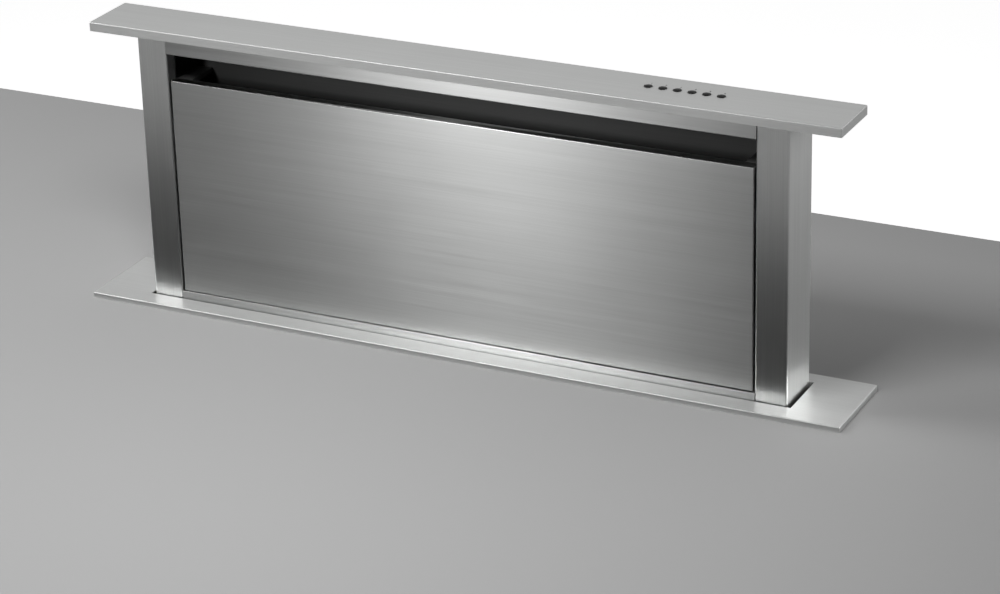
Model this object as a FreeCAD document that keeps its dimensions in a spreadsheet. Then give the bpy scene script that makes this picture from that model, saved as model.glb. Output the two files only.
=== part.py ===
import FreeCAD, Part
import math
import os
import Sketcher

from FreeCAD import Rotation, Vector

# A downdraft vent: a suction tower that rises through a slot in the worktop, and the
# casing, blower and lift below it. Millimetres, +X right, +Y to the back, +Z up.
# The origin is the middle of the worktop flange, on the worktop's surface.
# It is modelled raised, as it stands while it works.

SIZES = {
    # worktop flange, its slot and its seal
    "flange_length": 880,
    "flange_depth": 110,
    "flange_height": 6,
    "flange_wall": 1.5,
    "flange_rounding": 1.2,
    "flange_corner": 1.5,
    "slot_end_gap": 4.5,
    "slot_face_gap": 1.5,
    "slot_lip": 10,
    "seal_gap": 0.3,
    "cutout_gap": 3,
    # tower
    "cap_overhang": 56,
    "tower_depth": 63,
    "tower_shift": 1.5,
    "tower_drop": 118,
    "lift_travel": 300,
    "park_gap": 0.3,
    "post_face": 35.3,
    "post_wall": 1.5,
    "post_rounding": 2.2,
    "bend_rounding": 1.1,
    "header_height": 17,
    "header_wall": 1.2,
    "header_lip": 12,
    "suction_height": 30,
    "panel_foot": 15.3,
    "panel_side_gap": 2.5,
    "panel_recess": 1.2,
    "panel_wall": 1.2,
    "panel_rounding": 1.1,
    "apron_gap": 0.6,
    "apron_wall": 1.2,
    "apron_lip": 10,
    "rear_wall": 1.2,
    "seat_gap": 0.3,
    # cap
    "cap_inset": 10,
    "cap_depth": 72,
    "cap_height": 10,
    "cap_wall": 1.2,
    "cap_rounding": 1.1,
    "cap_corner": 1.2,
    "underplate_wall": 1.2,
    # push-buttons and the board below them
    "button_count": 6,
    "button_pitch": 15.9,
    "button_row_inset": 181.8,
    "button_row_depth": 3.5,
    "button_radius": 4.4,
    "button_fit": 0.25,
    "button_rise": 1.5,
    "button_dome": 0.7,
    "button_travel": 1,
    "collar_radius": 5.6,
    "collar_height": 0.9,
    "collar_play": 0.2,
    "housing_margin": 8,
    "housing_depth": 26,
    "housing_wall": 1,
    "board_wall": 1.4,
    "switch_side": 6,
    "switch_play": 0.2,
    # filters
    "frame_back_gap": 1,
    "filter_foot": 24,
    "frame_height": 190,
    "frame_depth": 8,
    "frame_bar": 12,
    "frame_rim": 3,
    "filter_fit": 0.3,
    "filter_border": 10,
    "filter_slots": 14,
    "filter_slot_width": 9,
    "filter_slot_margin": 15,
    "filter_skin": 1,
    "ledge_level": 252,
    "ledge_height": 5,
    "ledge_reach": 17.5,
    "ledge_wall": 1.2,
    "clip_height": 14,
    "clip_arm": 6,
    "clip_inset": 60,
    # casing below the worktop
    "flange_overlap": 40,
    "flange_cover": 11,
    "casing_drop": 700,
    "casing_wall": 1.2,
    "casing_flange": 14,
    "casing_lip": 18,
    "floor_rim": 15,
    "screw_radius": 2,
    "screw_head": 4,
    "screw_head_height": 2.2,
    "screw_tail": 3,
    "screw_rows": 4,
    "screw_margin": 26,
    "stud_radius": 2.5,
    "stud_spacing": 50,
    "stud_tail": 2,
    "nut_radius": 4.6,
    "nut_height": 4,
    "screw_fit": 0.1,
    "foot_height": 20,
    "foot_radius": 16,
    "foot_pad": 7,
    "foot_edge": 1.5,
    "foot_stem": 4,
    "foot_inset": 36,
    "foot_spacing": 46,
    "box_foot_inset": 26,
    "foot_nut": 7.5,
    "foot_thread": 8,
    # guides
    "guide_gap": 1.9,
    "guide_depth": 12,
    "guide_wall": 2,
    "guide_top": 12,
    "guide_overrun": 12,
    "shoe_fit": 0.3,
    "shoe_height": 30,
    "shoe_plate": 4,
    "shoe_back_gap": 1.5,
    "shoe_top": 20,
    "shoe_groove": 2,
    # rack drive
    "shaft_drop": 100,
    "shaft_set_in": 23.5,
    "shaft_radius": 5,
    "shaft_fit": 0.05,
    "shaft_end_gap": 1.5,
    "shaft_chamfer": 0.8,
    "rack_module": 2,
    "rack_root": 1.2,
    "tooth_tip": 0.8,
    "gear_root": 1.05,
    "rack_width": 10,
    "rack_back": 10,
    "rack_spare_teeth": 4,
    "pinion_teeth": 14,
    "pinion_width": 9,
    "pinion_hub": 9,
    "gear_module": 1.5,
    "driven_teeth": 24,
    "motor_teeth": 12,
    "gear_width": 8,
    "gear_inset": 74,
    "gear_hub": 9,
    "gear_hub_length": 6,
    "backlash": 0.2,
    "bush_radius": 7,
    "bush_flange": 10,
    "bush_flange_height": 2,
    "motor_radius": 18.5,
    "motor_length": 88,
    "motor_edge": 2.3,
    "gearbox_length": 26,
    "gearbox_radius": 16.5,
    "motor_shaft": 3,
    "motor_boss": 6,
    "bracket_wall": 2.5,
    "bracket_gap": 4,
    "bracket_foot": 26,
    "bracket_drop": 9,
    "tie_height": 15,
    "tie_gap": 5.1,
    "tie_wall": 1.5,
    # cabinet brackets
    "cabinet_gap": 32,
    "bracket_level": 350,
    "bracket_height": 70,
    "bracket_leg": 34,
    "bracket_sheet": 2,
    "bracket_hole": 2.75,
    "bracket_hole_pitch": 40,
    # blower box and outlet
    "box_length": 400,
    "box_depth": 230,
    "box_lift": 10,
    "box_wall": 1.2,
    "box_rim": 10,
    "volute_step": 12,
    "volute_radius": 88,
    "volute_width": 110,
    "volute_wall": 1.5,
    "volute_back_gap": 8,
    "volute_floor_gap": 24,
    "volute_top_gap": 24,
    "volute_throat": 104,
    "volute_rim": 10,
    "inlet_radius": 58,
    "inlet_lip": 1.5,
    "inlet_rim": 8,
    "inlet_depth": 6,
    "wheel_radius": 75,
    "wheel_inner": 62,
    "wheel_width": 96,
    "wheel_ring": 2,
    "wheel_disc": 2,
    "wheel_hub": 11,
    "wheel_hub_length": 18,
    "blade_count": 38,
    "blade_wall": 0.9,
    "blade_curve": 11,
    "blade_sweep": 3,
    "fan_shaft": 4,
    "fan_motor_radius": 40,
    "fan_motor_taper": 5.6,
    "fan_motor_cap": 8,
    "fan_motor_gap": 6,
    "spider_wall": 2.5,
    "spider_arm": 12,
    "spider_rim": 7,
    "spider_disc": 24,
    "collar_gap": 7,
    "duct_radius": 75,
    "duct_wall": 1.5,
    "duct_length": 45,
    "duct_rim": 10,
    "flap_set_in": 22,
    "flap_wall": 1.2,
    "flap_gap": 2.4,
    "flap_edge": 4.4,
    "pin_radius": 2,
    "knuckle_radius": 3.6,
    "knuckle_fit": 0.1,
    "knuckle_split": 22,
    "knuckle_end": 60,
    "knuckle_gap": 1,
    # electronics
    "electronics_length": 180,
    "electronics_height": 112,
    "electronics_depth": 46,
    "electronics_place": 150,
    "electronics_drop": 190,
    "electronics_wall": 2,
    "standoff_radius": 3.5,
    "standoff_height": 6,
    "standoff_inset": 10,
    "power_board_gap": 5,
    "transformer_length": 44,
    "transformer_height": 42,
    "transformer_rise": 18,
    "relay_length": 18,
    "relay_height": 36,
    "relay_rise": 14.5,
    "relay_gap": 5,
    "capacitor_radius": 14.5,
    "capacitor_rise": 16,
    "component_margin": 5,
    "gland_radius": 8,
    "gland_nut": 12,
    "gland_bore": 4,
    "gland_thread": 6,
    "gland_cap": 10.3,
    "gland_cap_drop": 12.8,
    "gland_inset": 26,
}

document = FreeCAD.newDocument("downdraft_vent")
sheet = document.addObject("Spreadsheet::Sheet", "Dims")
XY = "XY_Plane"
XZ = "XZ_Plane"
YZ = "YZ_Plane"
LEFT = -1
RIGHT = 1
HALF = 0.5
HEX_FLAT = math.sqrt(3) / 2
PRESSURE_ANGLE = 20
UPWARD = 90
nodes = []


def fill_sheet():
    for row, (name, size) in enumerate(SIZES.items(), 1):
        sheet.set(f"A{row}", name)
        sheet.set(f"B{row}", str(size))
        sheet.setAlias(f"B{row}", name)
    document.recompute()


def text(size):
    return size.text if isinstance(size, Size) else f"({size})"


def number(size):
    return size.value if isinstance(size, Size) else float(size)


class Size:
    """A size: its value now, and the expression that binds a feature to the sheet."""

    def __init__(self, expression, value):
        self.text = expression
        self.value = value

    def joined(self, sign, other, value):
        return Size(f"({self.text} {sign} {text(other)})", value)

    def __add__(self, other):
        return self.joined("+", other, self.value + number(other))

    def __sub__(self, other):
        return self.joined("-", other, self.value - number(other))

    def __mul__(self, other):
        return self.joined("*", other, self.value * number(other))

    def __truediv__(self, other):
        return self.joined("/", other, self.value / number(other))

    def __neg__(self):
        return self * -1

    __radd__ = __add__
    __rmul__ = __mul__

    def __rsub__(self, other):
        return -self + other


class Sheet:
    """Reads the sheet's cells by their names."""

    def __getattr__(self, name):
        return Size(f"Dims.{name}", float(getattr(sheet, name)))


def whole(size):
    return Size(f"floor({size.text})", math.floor(size.value))


def root(size):
    return Size(f"sqrt({size.text})", math.sqrt(size.value))


def trig(function, size):
    value = getattr(math, function)(math.radians(number(size)))
    return Size(f"{function}({text(size)} * 1 deg)", value)


def turn(function, size):
    """The angle, in degrees, that has a sine or a tangent."""
    return Size(f"{function}({size.text})", math.degrees(getattr(math, function)(size.value)))


fill_sheet()
d = Sheet()


# Levels and faces that several pieces share

flange_x = d.flange_length / 2
flange_y = d.flange_depth / 2
cap_x = flange_x - d.cap_inset
cap_y = d.cap_depth / 2
tower_x = cap_x - d.cap_overhang
tower_front = d.tower_shift - d.tower_depth / 2
tower_back = d.tower_shift + d.tower_depth / 2
post_x = tower_x - d.post_face
cap_foot = d.flange_height + d.park_gap + d.lift_travel
cap_top = cap_foot + d.cap_height
cap_ceiling = cap_top - d.cap_wall
underplate_top = cap_foot + d.underplate_wall
header_foot = cap_foot - d.header_height
panel_top = header_foot - d.suction_height
panel_x = post_x - d.panel_side_gap
panel_front = tower_front + d.panel_recess
frame_front = panel_front + d.header_lip
apron_top = d.panel_foot - d.apron_gap
apron_back = tower_front + d.apron_wall
rear_inside = tower_back - d.rear_wall
liner_x = post_x - d.rear_wall
clip_wall = d.panel_side_gap - d.filter_fit
liner_front = frame_front + clip_wall
tower_foot = -d.tower_drop
slot_x = tower_x + d.slot_end_gap
slot_front = tower_front - d.slot_face_gap
slot_back = tower_back + d.slot_face_gap
under_flange = d.flange_height - d.flange_wall
casing_x = flange_x - d.flange_overlap
casing_inside = casing_x - d.casing_wall
casing_back = flange_y - d.flange_cover
casing_front = -casing_back
side_front = casing_front + d.casing_wall
flange_inside = side_front + d.casing_wall
back_inside = casing_back - d.casing_wall
casing_foot = -d.casing_drop
floor_top = casing_foot + d.casing_wall
shaft_y = tower_back - d.shaft_set_in
shaft_z = -d.shaft_drop
tooth_pitch = Size("pi", math.pi) * d.rack_module
pinion_pitch_radius = d.rack_module * d.pinion_teeth / 2
rack_pitch_y = shaft_y + pinion_pitch_radius
pinion_tip = pinion_pitch_radius + d.rack_module * d.tooth_tip
guide_back = shaft_y - pinion_tip - d.guide_gap
guide_foot = shaft_z - d.lift_travel - d.guide_overrun - d.shoe_height
motor_z = shaft_z + d.gear_module * (d.driven_teeth + d.motor_teeth) / 2
gear_x = tower_x - d.gear_inset
box_front = casing_front - d.box_depth
box_foot = casing_foot + d.box_lift
box_x = d.box_length / 2
volute_y = casing_front - d.volute_back_gap - d.volute_radius - d.volute_step * 3 / 2
volute_z = box_foot + d.volute_floor_gap + d.volute_radius + d.volute_step * 5 / 2
box_top = volute_z + d.volute_step / 2 + d.volute_radius + d.volute_top_gap
cover_front = box_front - d.box_wall
collar_z = box_foot + d.duct_radius + d.collar_gap
button_row_middle = cap_x - d.button_row_inset
button_row = d.button_pitch * (d.button_count - 1)
electronics_top = -d.electronics_drop
electronics_foot = electronics_top - d.electronics_height
electronics_front = casing_front - d.electronics_depth


# Modelling helpers

def body(name):
    item = document.addObject("PartDesign::Body", name)
    item.AllowCompound = True
    return item


def keep(item, name):
    item.Label = name
    nodes.append(item)
    return item


def rectangle(x0, x1, y0, y1):
    return [(x0, y0), (x1, y0), (x1, y1), (x0, y1)]


def hexagon(x, y, radius):
    across = radius * HEX_FLAT
    half = radius * HALF
    return [(x + radius, y), (x + half, y + across), (x - half, y + across),
            (x - radius, y), (x - half, y - across), (x + half, y - across)]


def arc_between(start, end, radius):
    """The shorter arc from start to end, counterclockwise where the radius is positive."""
    chord = end - start
    left = Vector(-chord.y, chord.x, 0).normalize()
    rise = math.sqrt(max(radius * radius - chord.Length ** 2 / 4, 0))
    centre = (start + end) * HALF + left * math.copysign(rise, radius)
    first, last = (start, end) if radius > 0 else (end, start)
    begin = math.atan2(first.y - centre.y, first.x - centre.x)
    finish = math.atan2(last.y - centre.y, last.x - centre.x)
    circle = Part.Circle(centre, Vector(0, 0, 1), abs(radius))
    return Part.ArcOfCircle(circle, begin, finish if finish > begin else finish + 2 * math.pi)


def pin_point(profile, geometry, end, x, y):
    for kind, size in (("DistanceX", x), ("DistanceY", y)):
        rule = Sketcher.Constraint(kind, -1, 1, geometry, end, number(size))
        index = profile.addConstraint(rule)
        if isinstance(size, Size):
            profile.setExpression(f"Constraints[{index}]", size.text)


def set_radius(profile, geometry, radius):
    index = profile.addConstraint(Sketcher.Constraint("Radius", geometry, number(radius)))
    if isinstance(radius, Size):
        profile.setExpression(f"Constraints[{index}]", radius.text)


def draw_circle(profile, x, y, radius):
    centre = Vector(number(x), number(y), 0)
    geometry = profile.addGeometry(Part.Circle(centre, Vector(0, 0, 1), number(radius)), False)
    set_radius(profile, geometry, radius)
    pin_point(profile, geometry, 3, x, y)


def draw_outline(profile, points):
    """Draws a closed outline. A third value makes the edge after a point an arc."""
    ends = []
    spots = [Vector(number(point[0]), number(point[1]), 0) for point in points]
    for index, point in enumerate(points):
        start, end = spots[index], spots[(index + 1) % len(points)]
        if len(point) > 2:
            edge = arc_between(start, end, number(point[2]))
        else:
            edge = Part.LineSegment(start, end)
        clockwise = len(point) > 2 and number(point[2]) < 0
        ends.append((profile.addGeometry(edge, False), 2 if clockwise else 1))
    for index, point in enumerate(points):
        geometry, start = ends[index]
        following, next_start = ends[(index + 1) % len(points)]
        profile.addConstraint(
            Sketcher.Constraint("Coincident", geometry, 3 - start, following, next_start))
        pin_point(profile, geometry, start, point[0], point[1])
        if len(point) > 2:
            set_radius(profile, geometry, point[2] if number(point[2]) > 0 else -point[2])


def sketch(piece, name, plane, offset, loops):
    profile = piece.newObject("Sketcher::SketchObject", name)
    role = [item for item in piece.Origin.OriginFeatures if item.Role == plane][0]
    profile.AttachmentSupport = [(role, "")]
    profile.MapMode = "FlatFace"
    profile.setExpression("AttachmentOffset.Base.z", text(offset))
    for loop in loops:
        if isinstance(loop, tuple):
            draw_circle(profile, *loop)
        else:
            draw_outline(profile, loop)
    return profile


def slab(piece, name, plane, low, high, *loops):
    """Pads the loops on a plane from one coordinate to another along its axis."""
    start = -high if plane == XZ else low
    feature = piece.newObject("PartDesign::Pad", name)
    feature.Profile = sketch(piece, name + "_outline", plane, start, loops)
    feature.setExpression("Length", text(high - low))
    return feature


def opening(piece, name, plane, low, high, *loops):
    """Pockets the loops on a plane from one coordinate to another along its axis."""
    start = -high if plane == XZ else low
    feature = piece.newObject("PartDesign::Pocket", name)
    feature.Profile = sketch(piece, name + "_outline", plane, start, loops)
    feature.Reversed = True
    feature.setExpression("Length", text(high - low))
    return feature


def turned(piece, name, plane, axis, points, groove=False):
    """Turns an outline about one of the body's own axes."""
    kind = "PartDesign::Groove" if groove else "PartDesign::Revolution"
    feature = piece.newObject(kind, name)
    feature.Profile = sketch(piece, name + "_outline", plane, 0, [points])
    spindle = [item for item in piece.Origin.OriginFeatures if item.Role == axis][0]
    feature.ReferenceAxis = (spindle, [""])
    feature.Angle = 360
    return feature


def rounded(piece, name, radius, chosen, chamfer=False):
    """Rounds the edges that the test picks."""
    document.recompute()
    base = piece.Tip
    edges = [f"Edge{index}" for index, edge in enumerate(base.Shape.Edges, 1) if chosen(edge)]
    feature = piece.newObject("PartDesign::Chamfer" if chamfer else "PartDesign::Fillet", name)
    feature.Base = (base, edges)
    feature.setExpression("Size" if chamfer else "Radius", text(radius))
    return feature


def hollow(piece, name, wall, chosen):
    """Shells the body to a wall, open at the faces that the test picks."""
    document.recompute()
    base = piece.Tip
    faces = [f"Face{index}" for index, face in enumerate(base.Shape.Faces, 1) if chosen(face)]
    feature = piece.newObject("PartDesign::Thickness", name)
    feature.Base = (base, faces)
    feature.Reversed = True
    feature.setExpression("Value", text(wall))
    return feature


def repeated(piece, name, feature, axis, span, count, circular=False):
    """Repeats a feature along or about one of the body's own axes."""
    kind = "PartDesign::PolarPattern" if circular else "PartDesign::LinearPattern"
    pattern = piece.newObject(kind, name)
    pattern.Originals = [feature]
    line = [item for item in piece.Origin.OriginFeatures if item.Role == axis][0]
    if circular:
        pattern.Axis = (line, [""])
        pattern.Angle = 360
    else:
        pattern.Direction = (line, [""])
        pattern.Mode = "Spacing"
        pattern.setExpression("Offset", text(span))
    if isinstance(count, Size):
        pattern.setExpression("Occurrences", count.text)
    else:
        pattern.Occurrences = count
    piece.Tip = pattern
    return pattern


def at(**place):
    """A test for an edge or a face whose middle has the coordinates given."""
    def test(item):
        middle = item.CenterOfMass
        return all(abs(getattr(middle, axis) - number(size)) < 1e-4 for axis, size in place.items())
    return test


def upright(*spots):
    """A test for an edge along Z through one of the spots, given in X and Y."""
    def test(edge):
        middle = edge.CenterOfMass
        box = edge.BoundBox
        return max(box.XLength, box.YLength) < 1e-4 and any(
            abs(middle.x - number(x)) < 1e-4 and abs(middle.y - number(y)) < 1e-4
            for x, y in spots)
    return test


def corners(x0, x1, y0, y1):
    return upright((x0, y0), (x1, y0), (x0, y1), (x1, y1))


def span(inner, outer, side):
    """The two X levels of a piece that is the same on either side."""
    return (inner, outer) if side == RIGHT else (-outer, -inner)


def placed(item, x=0, y=0, z=0):
    for axis, size in (("x", x), ("y", y), ("z", z)):
        item.setExpression(f"Placement.Base.{axis}", text(size))
    return item


def grouped(name, *items):
    item = document.addObject("Part::Compound", name)
    item.Links = list(items)
    return item


# Worktop flange, seal and fixings

def worktop_flange():
    piece = body("worktop_flange")
    x, y = flange_x, flange_y
    slab(piece, "flange_plate", XY, 0, d.flange_height, rectangle(-x, x, -y, y))
    rounded(piece, "flange_corners", d.flange_corner, corners(-x, x, -y, y))
    rounded(piece, "flange_top_edge", d.flange_rounding, rim_test(d.flange_height, x, y))
    wall = d.flange_wall
    opening(piece, "flange_fold", XY, 0, under_flange,
            rectangle(wall - x, x - wall, wall - y, y - wall))
    lip_foot = d.flange_height - d.slot_lip
    slab(piece, "slot_lips", XY, lip_foot, d.flange_height,
         rectangle(-slot_x - wall, slot_x + wall, slot_front - wall, slot_back + wall))
    opening(piece, "tower_slot", XY, lip_foot, d.flange_height,
            rectangle(-slot_x, slot_x, slot_front, slot_back))
    keep(piece, "worktop_flange")


def rim_test(level, x, y):
    """A test for the edges round the top of a plate."""
    def test(edge):
        middle, box = edge.CenterOfMass, edge.BoundBox
        outside = abs(middle.x) > number(x) * HALF or abs(middle.y) > number(y) * HALF
        return abs(middle.z - number(level)) < 1e-4 and box.ZLength < 1e-4 and outside
    return test


def flange_seal():
    piece = body("flange_seal")
    rim = d.flange_wall + d.seal_gap
    x, y = flange_x - rim, flange_y - rim
    hole_x = casing_x + d.cutout_gap
    slab(piece, "foam", XY, 0, under_flange, rectangle(-x, x, -y, y),
         rectangle(-hole_x, hole_x, casing_front - d.cutout_gap, casing_back + d.cutout_gap))
    keep(piece, "flange_seal")


def stud_spots():
    x = casing_inside - d.casing_lip / 2
    half = d.stud_spacing / 2
    return [(x * side, half * end) for side in (LEFT, RIGHT) for end in (LEFT, RIGHT)]


def flange_fixings():
    lip_foot = under_flange - d.casing_wall
    nut_foot = lip_foot - d.nut_height
    studs = []
    for index, (x, y) in enumerate(stud_spots(), 1):
        stem = body(f"stud_{index}")
        slab(stem, f"stem_{index}", XY, nut_foot - d.stud_tail, under_flange, (x, y, d.stud_radius))
        nut = body(f"nut_{index}")
        slab(nut, f"nut_hex_{index}", XY, nut_foot, lip_foot,
             hexagon(x, y, d.nut_radius), (x, y, d.stud_radius + d.screw_fit))
        studs += [stem, nut]
    keep(grouped("flange_fixings", *studs), "flange_fixings")


# Casing

def screw_spots():
    """The casing screws, in X and Z."""
    x = casing_x - d.casing_flange / 2
    first = -d.screw_margin
    count = int(number(d.screw_rows))
    pitch = (d.casing_drop - d.screw_margin * 2) / (d.screw_rows - 1)
    return [(x * side, first - pitch * row) for side in (LEFT, RIGHT)
            for row in range(count)]


def screw_holes():
    return [(x, z, d.screw_radius + d.screw_fit) for x, z in screw_spots()]


def casing_back_piece():
    piece = body("casing_back")
    lip = casing_x - d.casing_flange
    outline = [
        (-casing_x, casing_back), (casing_x, casing_back), (casing_x, side_front),
        (lip, side_front), (lip, flange_inside), (casing_inside, flange_inside),
        (casing_inside, back_inside), (-casing_inside, back_inside),
        (-casing_inside, flange_inside), (-lip, flange_inside), (-lip, side_front),
        (-casing_x, side_front)]
    slab(piece, "folded_sheet", XY, casing_foot, under_flange, outline)
    lip_foot = under_flange - d.casing_wall
    inner = casing_inside - d.casing_lip
    slab(piece, "top_lips", XY, lip_foot, under_flange,
         rectangle(inner, casing_inside, flange_inside, back_inside),
         rectangle(-casing_inside, -inner, flange_inside, back_inside))
    opening(piece, "stud_holes", XY, lip_foot, under_flange,
            *[(x, y, d.stud_radius + d.screw_fit) for x, y in stud_spots()])
    opening(piece, "screw_holes", XZ, side_front, flange_inside, *screw_holes())
    keep(piece, "casing_back")


def casing_front_piece():
    piece = body("casing_front")
    x = box_x - d.box_rim
    slab(piece, "front_sheet", XZ, casing_front, side_front,
         rectangle(-casing_x, casing_x, casing_foot, under_flange))
    opening(piece, "blower_opening", XZ, casing_front, side_front,
            rectangle(-x, x, box_foot + d.box_rim, box_top - d.box_rim))
    opening(piece, "front_screw_holes", XZ, casing_front, side_front, *screw_holes())
    keep(piece, "casing_front")


def casing_foot_spots():
    x = casing_x - d.foot_inset
    half = d.foot_spacing / 2
    return [(x * side, half * end) for side in (LEFT, RIGHT) for end in (LEFT, RIGHT)]


def box_foot_spots():
    x, y = box_x - d.box_foot_inset, box_front + d.box_foot_inset
    return [(x * side, y) for side in (LEFT, RIGHT)]


def casing_floor():
    piece = body("casing_floor")
    slab(piece, "floor_tray", XY, casing_foot, casing_foot + d.floor_rim,
         rectangle(-casing_inside, casing_inside, flange_inside, back_inside))
    hollow(piece, "floor_fold", d.casing_wall, at(z=casing_foot + d.floor_rim))
    opening(piece, "foot_holes", XY, casing_foot, floor_top,
            *[(x, y, d.foot_stem + d.screw_fit) for x, y in casing_foot_spots()])
    keep(piece, "casing_floor")


def casing_screws():
    piece = body("casing_screws")
    heads = [(x, z, d.screw_head) for x, z in screw_spots()]
    stems = [(x, z, d.screw_radius) for x, z in screw_spots()]
    slab(piece, "screw_heads", XZ, casing_front - d.screw_head_height, casing_front, *heads)
    slab(piece, "screw_stems", XZ, casing_front - d.screw_head_height / 2,
         flange_inside + d.screw_tail, *stems)
    keep(piece, "casing_screws")


def levelling_feet():
    """Six feet on one level: four below the casing and two below the blower box."""
    pad_foot = casing_foot - d.foot_height
    spots = [(x, y, casing_foot, d.casing_wall) for x, y in casing_foot_spots()]
    spots += [(x, y, box_foot, d.box_wall) for x, y in box_foot_spots()]
    feet = []
    for index, (x, y, level, wall) in enumerate(spots, 1):
        piece = body(f"foot_{index}")
        slab(piece, f"foot_pad_{index}", XY, pad_foot, pad_foot + d.foot_pad, (x, y, d.foot_radius))
        rounded(piece, f"foot_edge_{index}", d.foot_edge, at(x=x, y=y, z=pad_foot + d.foot_pad),
                chamfer=True)
        slab(piece, f"foot_stem_{index}", XY, pad_foot + d.foot_pad / 2,
             level + wall + d.foot_thread, (x, y, d.foot_stem))
        slab(piece, f"foot_nut_{index}", XY, level - d.nut_height, level,
             hexagon(x, y, d.foot_nut))
        feet.append(piece)
    keep(grouped("levelling_feet", *feet), "levelling_feet")


def cabinet_bracket(name, side):
    piece = body(name)
    wall = d.bracket_sheet
    reach = casing_x + d.cabinet_gap
    back = d.bracket_leg
    low = -d.bracket_level - d.bracket_height
    slab(piece, name + "_fold", XY, low, -d.bracket_level, z_fold(side, back, reach, wall))
    hole_y = back - d.bracket_leg - d.bracket_leg / 2
    middle = -d.bracket_level - d.bracket_height / 2
    half = d.bracket_hole_pitch / 2
    start, end = (reach - wall, reach) if side == RIGHT else (-reach, -reach + wall)
    opening(piece, name + "_holes", YZ, start, end,
            (hole_y, middle - half, d.bracket_hole), (hole_y, middle + half, d.bracket_hole))
    keep(piece, name)


def z_fold(side, back, reach, wall):
    """The bracket's folded section: a leg on the casing, a web and a leg on the cabinet."""
    front = back - d.bracket_leg
    far = front - d.bracket_leg
    return [(casing_x * side, front), ((casing_x + wall) * side, front),
            ((casing_x + wall) * side, back - wall), ((reach - wall) * side, back - wall),
            ((reach - wall) * side, far), (reach * side, far), (reach * side, back),
            (casing_x * side, back)]


# Guides and rack drive

def guide_rail(name, side):
    piece = body(name)
    wall = d.guide_wall
    mouth = casing_inside - d.guide_depth
    outline = [
        (casing_inside * side, tower_front), (casing_inside * side, guide_back),
        (mouth * side, guide_back), (mouth * side, guide_back - wall),
        ((casing_inside - wall) * side, guide_back - wall),
        ((casing_inside - wall) * side, tower_front + wall), (mouth * side, tower_front + wall),
        (mouth * side, tower_front)]
    slab(piece, name + "_channel", XY, guide_foot, -d.guide_top, outline)
    keep(piece, name)


def glide_shoes():
    """Plastic shoes on the posts, each with a runner in its rail and an oil groove."""
    shoes = []
    upper = -d.shoe_top
    lower = tower_foot + d.shoe_height + d.shoe_fit
    clear = d.guide_wall + d.shoe_fit
    runner = casing_inside - clear
    for side in (LEFT, RIGHT):
        for top in (upper, lower):
            index = len(shoes) + 1
            piece = body(f"shoe_{index}")
            plate = tower_x + d.shoe_plate
            slab(piece, f"shoe_plate_{index}", XY, top - d.shoe_height, top,
                 rectangle(tower_x * side, plate * side, tower_front + clear,
                           shaft_y - d.bush_flange - d.shoe_back_gap))
            slab(piece, f"shoe_runner_{index}", XY, top - d.shoe_height, top,
                 rectangle(tower_x * side, runner * side, tower_front + clear,
                           guide_back - clear))
            middle = (tower_front + guide_back) / 2
            groove = d.shoe_groove
            opening(piece, f"shoe_groove_{index}", XY, top - d.shoe_height, top,
                    rectangle((runner - groove) * side, runner * side,
                              middle - groove, middle + groove))
            shoes.append(piece)
    keep(grouped("glide_shoes", *shoes), "glide_shoes")


def rack(name, side):
    """A toothed bar, its first tooth gap above the pinion and its last below the travel."""
    piece = body(name)
    module = d.rack_module
    start, end = casing_inside - d.rack_width, casing_inside
    if side == LEFT:
        start, end = -end, -start
    tip = rack_pitch_y - module * d.tooth_tip
    floor = rack_pitch_y + module * d.rack_root
    count = whole(d.lift_travel / tooth_pitch) + d.rack_spare_teeth * 2
    first = shaft_z + tooth_pitch * (d.rack_spare_teeth - 1)
    top = first + tooth_pitch
    slab(piece, name + "_bar", YZ, start, end,
         rectangle(tip, rack_pitch_y + d.rack_back, top - tooth_pitch * (count + 1), top))
    slope = trig("tan", PRESSURE_ANGLE)
    half = tooth_pitch / 4 + d.backlash / 2
    wide = half + slope * module * d.tooth_tip
    narrow = half - slope * module * d.rack_root
    gap = opening(piece, name + "_gap", YZ, start, end,
                  [(tip, first - wide), (floor, first - narrow),
                   (floor, first + narrow), (tip, first + wide)])
    pattern = repeated(piece, name + "_teeth", gap, "Z_Axis", tooth_pitch, count)
    pattern.Reversed = True
    keep(piece, name)


def involute(base, radius):
    """The turn of an involute's point at a radius, from the circle that it leaves."""
    swing = math.sqrt(max((radius / base) ** 2 - 1, 0))
    return swing - math.atan(swing)


def gear_face(module, teeth, phase):
    """A gear's outline about the X axis, with a tooth at the phase, in degrees from +Y."""
    pitch = module * teeth / 2
    base = pitch * math.cos(math.radians(PRESSURE_ANGLE))
    tip = pitch + module * number(d.tooth_tip)
    floor = pitch - module * number(d.gear_root)
    half = math.pi / teeth / 2 - number(d.backlash) / 4 / pitch + involute(base, pitch)
    start = max(base, floor)
    flank_steps = 4
    radii = [start + (tip - start) * step / flank_steps for step in range(flank_steps + 1)]
    points = []
    for tooth in range(int(teeth)):
        middle = math.radians(phase) + 2 * math.pi * tooth / teeth
        rise = [(radius, middle - half + involute(base, radius)) for radius in radii]
        fall = [(radius, 2 * middle - angle) for radius, angle in reversed(rise)]
        flank = [(floor, rise[0][1])] + rise + fall + [(floor, fall[-1][1])]
        points += [Vector(0, radius * math.cos(angle), radius * math.sin(angle))
                   for radius, angle in flank]
    return Part.Face(Part.makePolygon(points + points[:1]))


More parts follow.
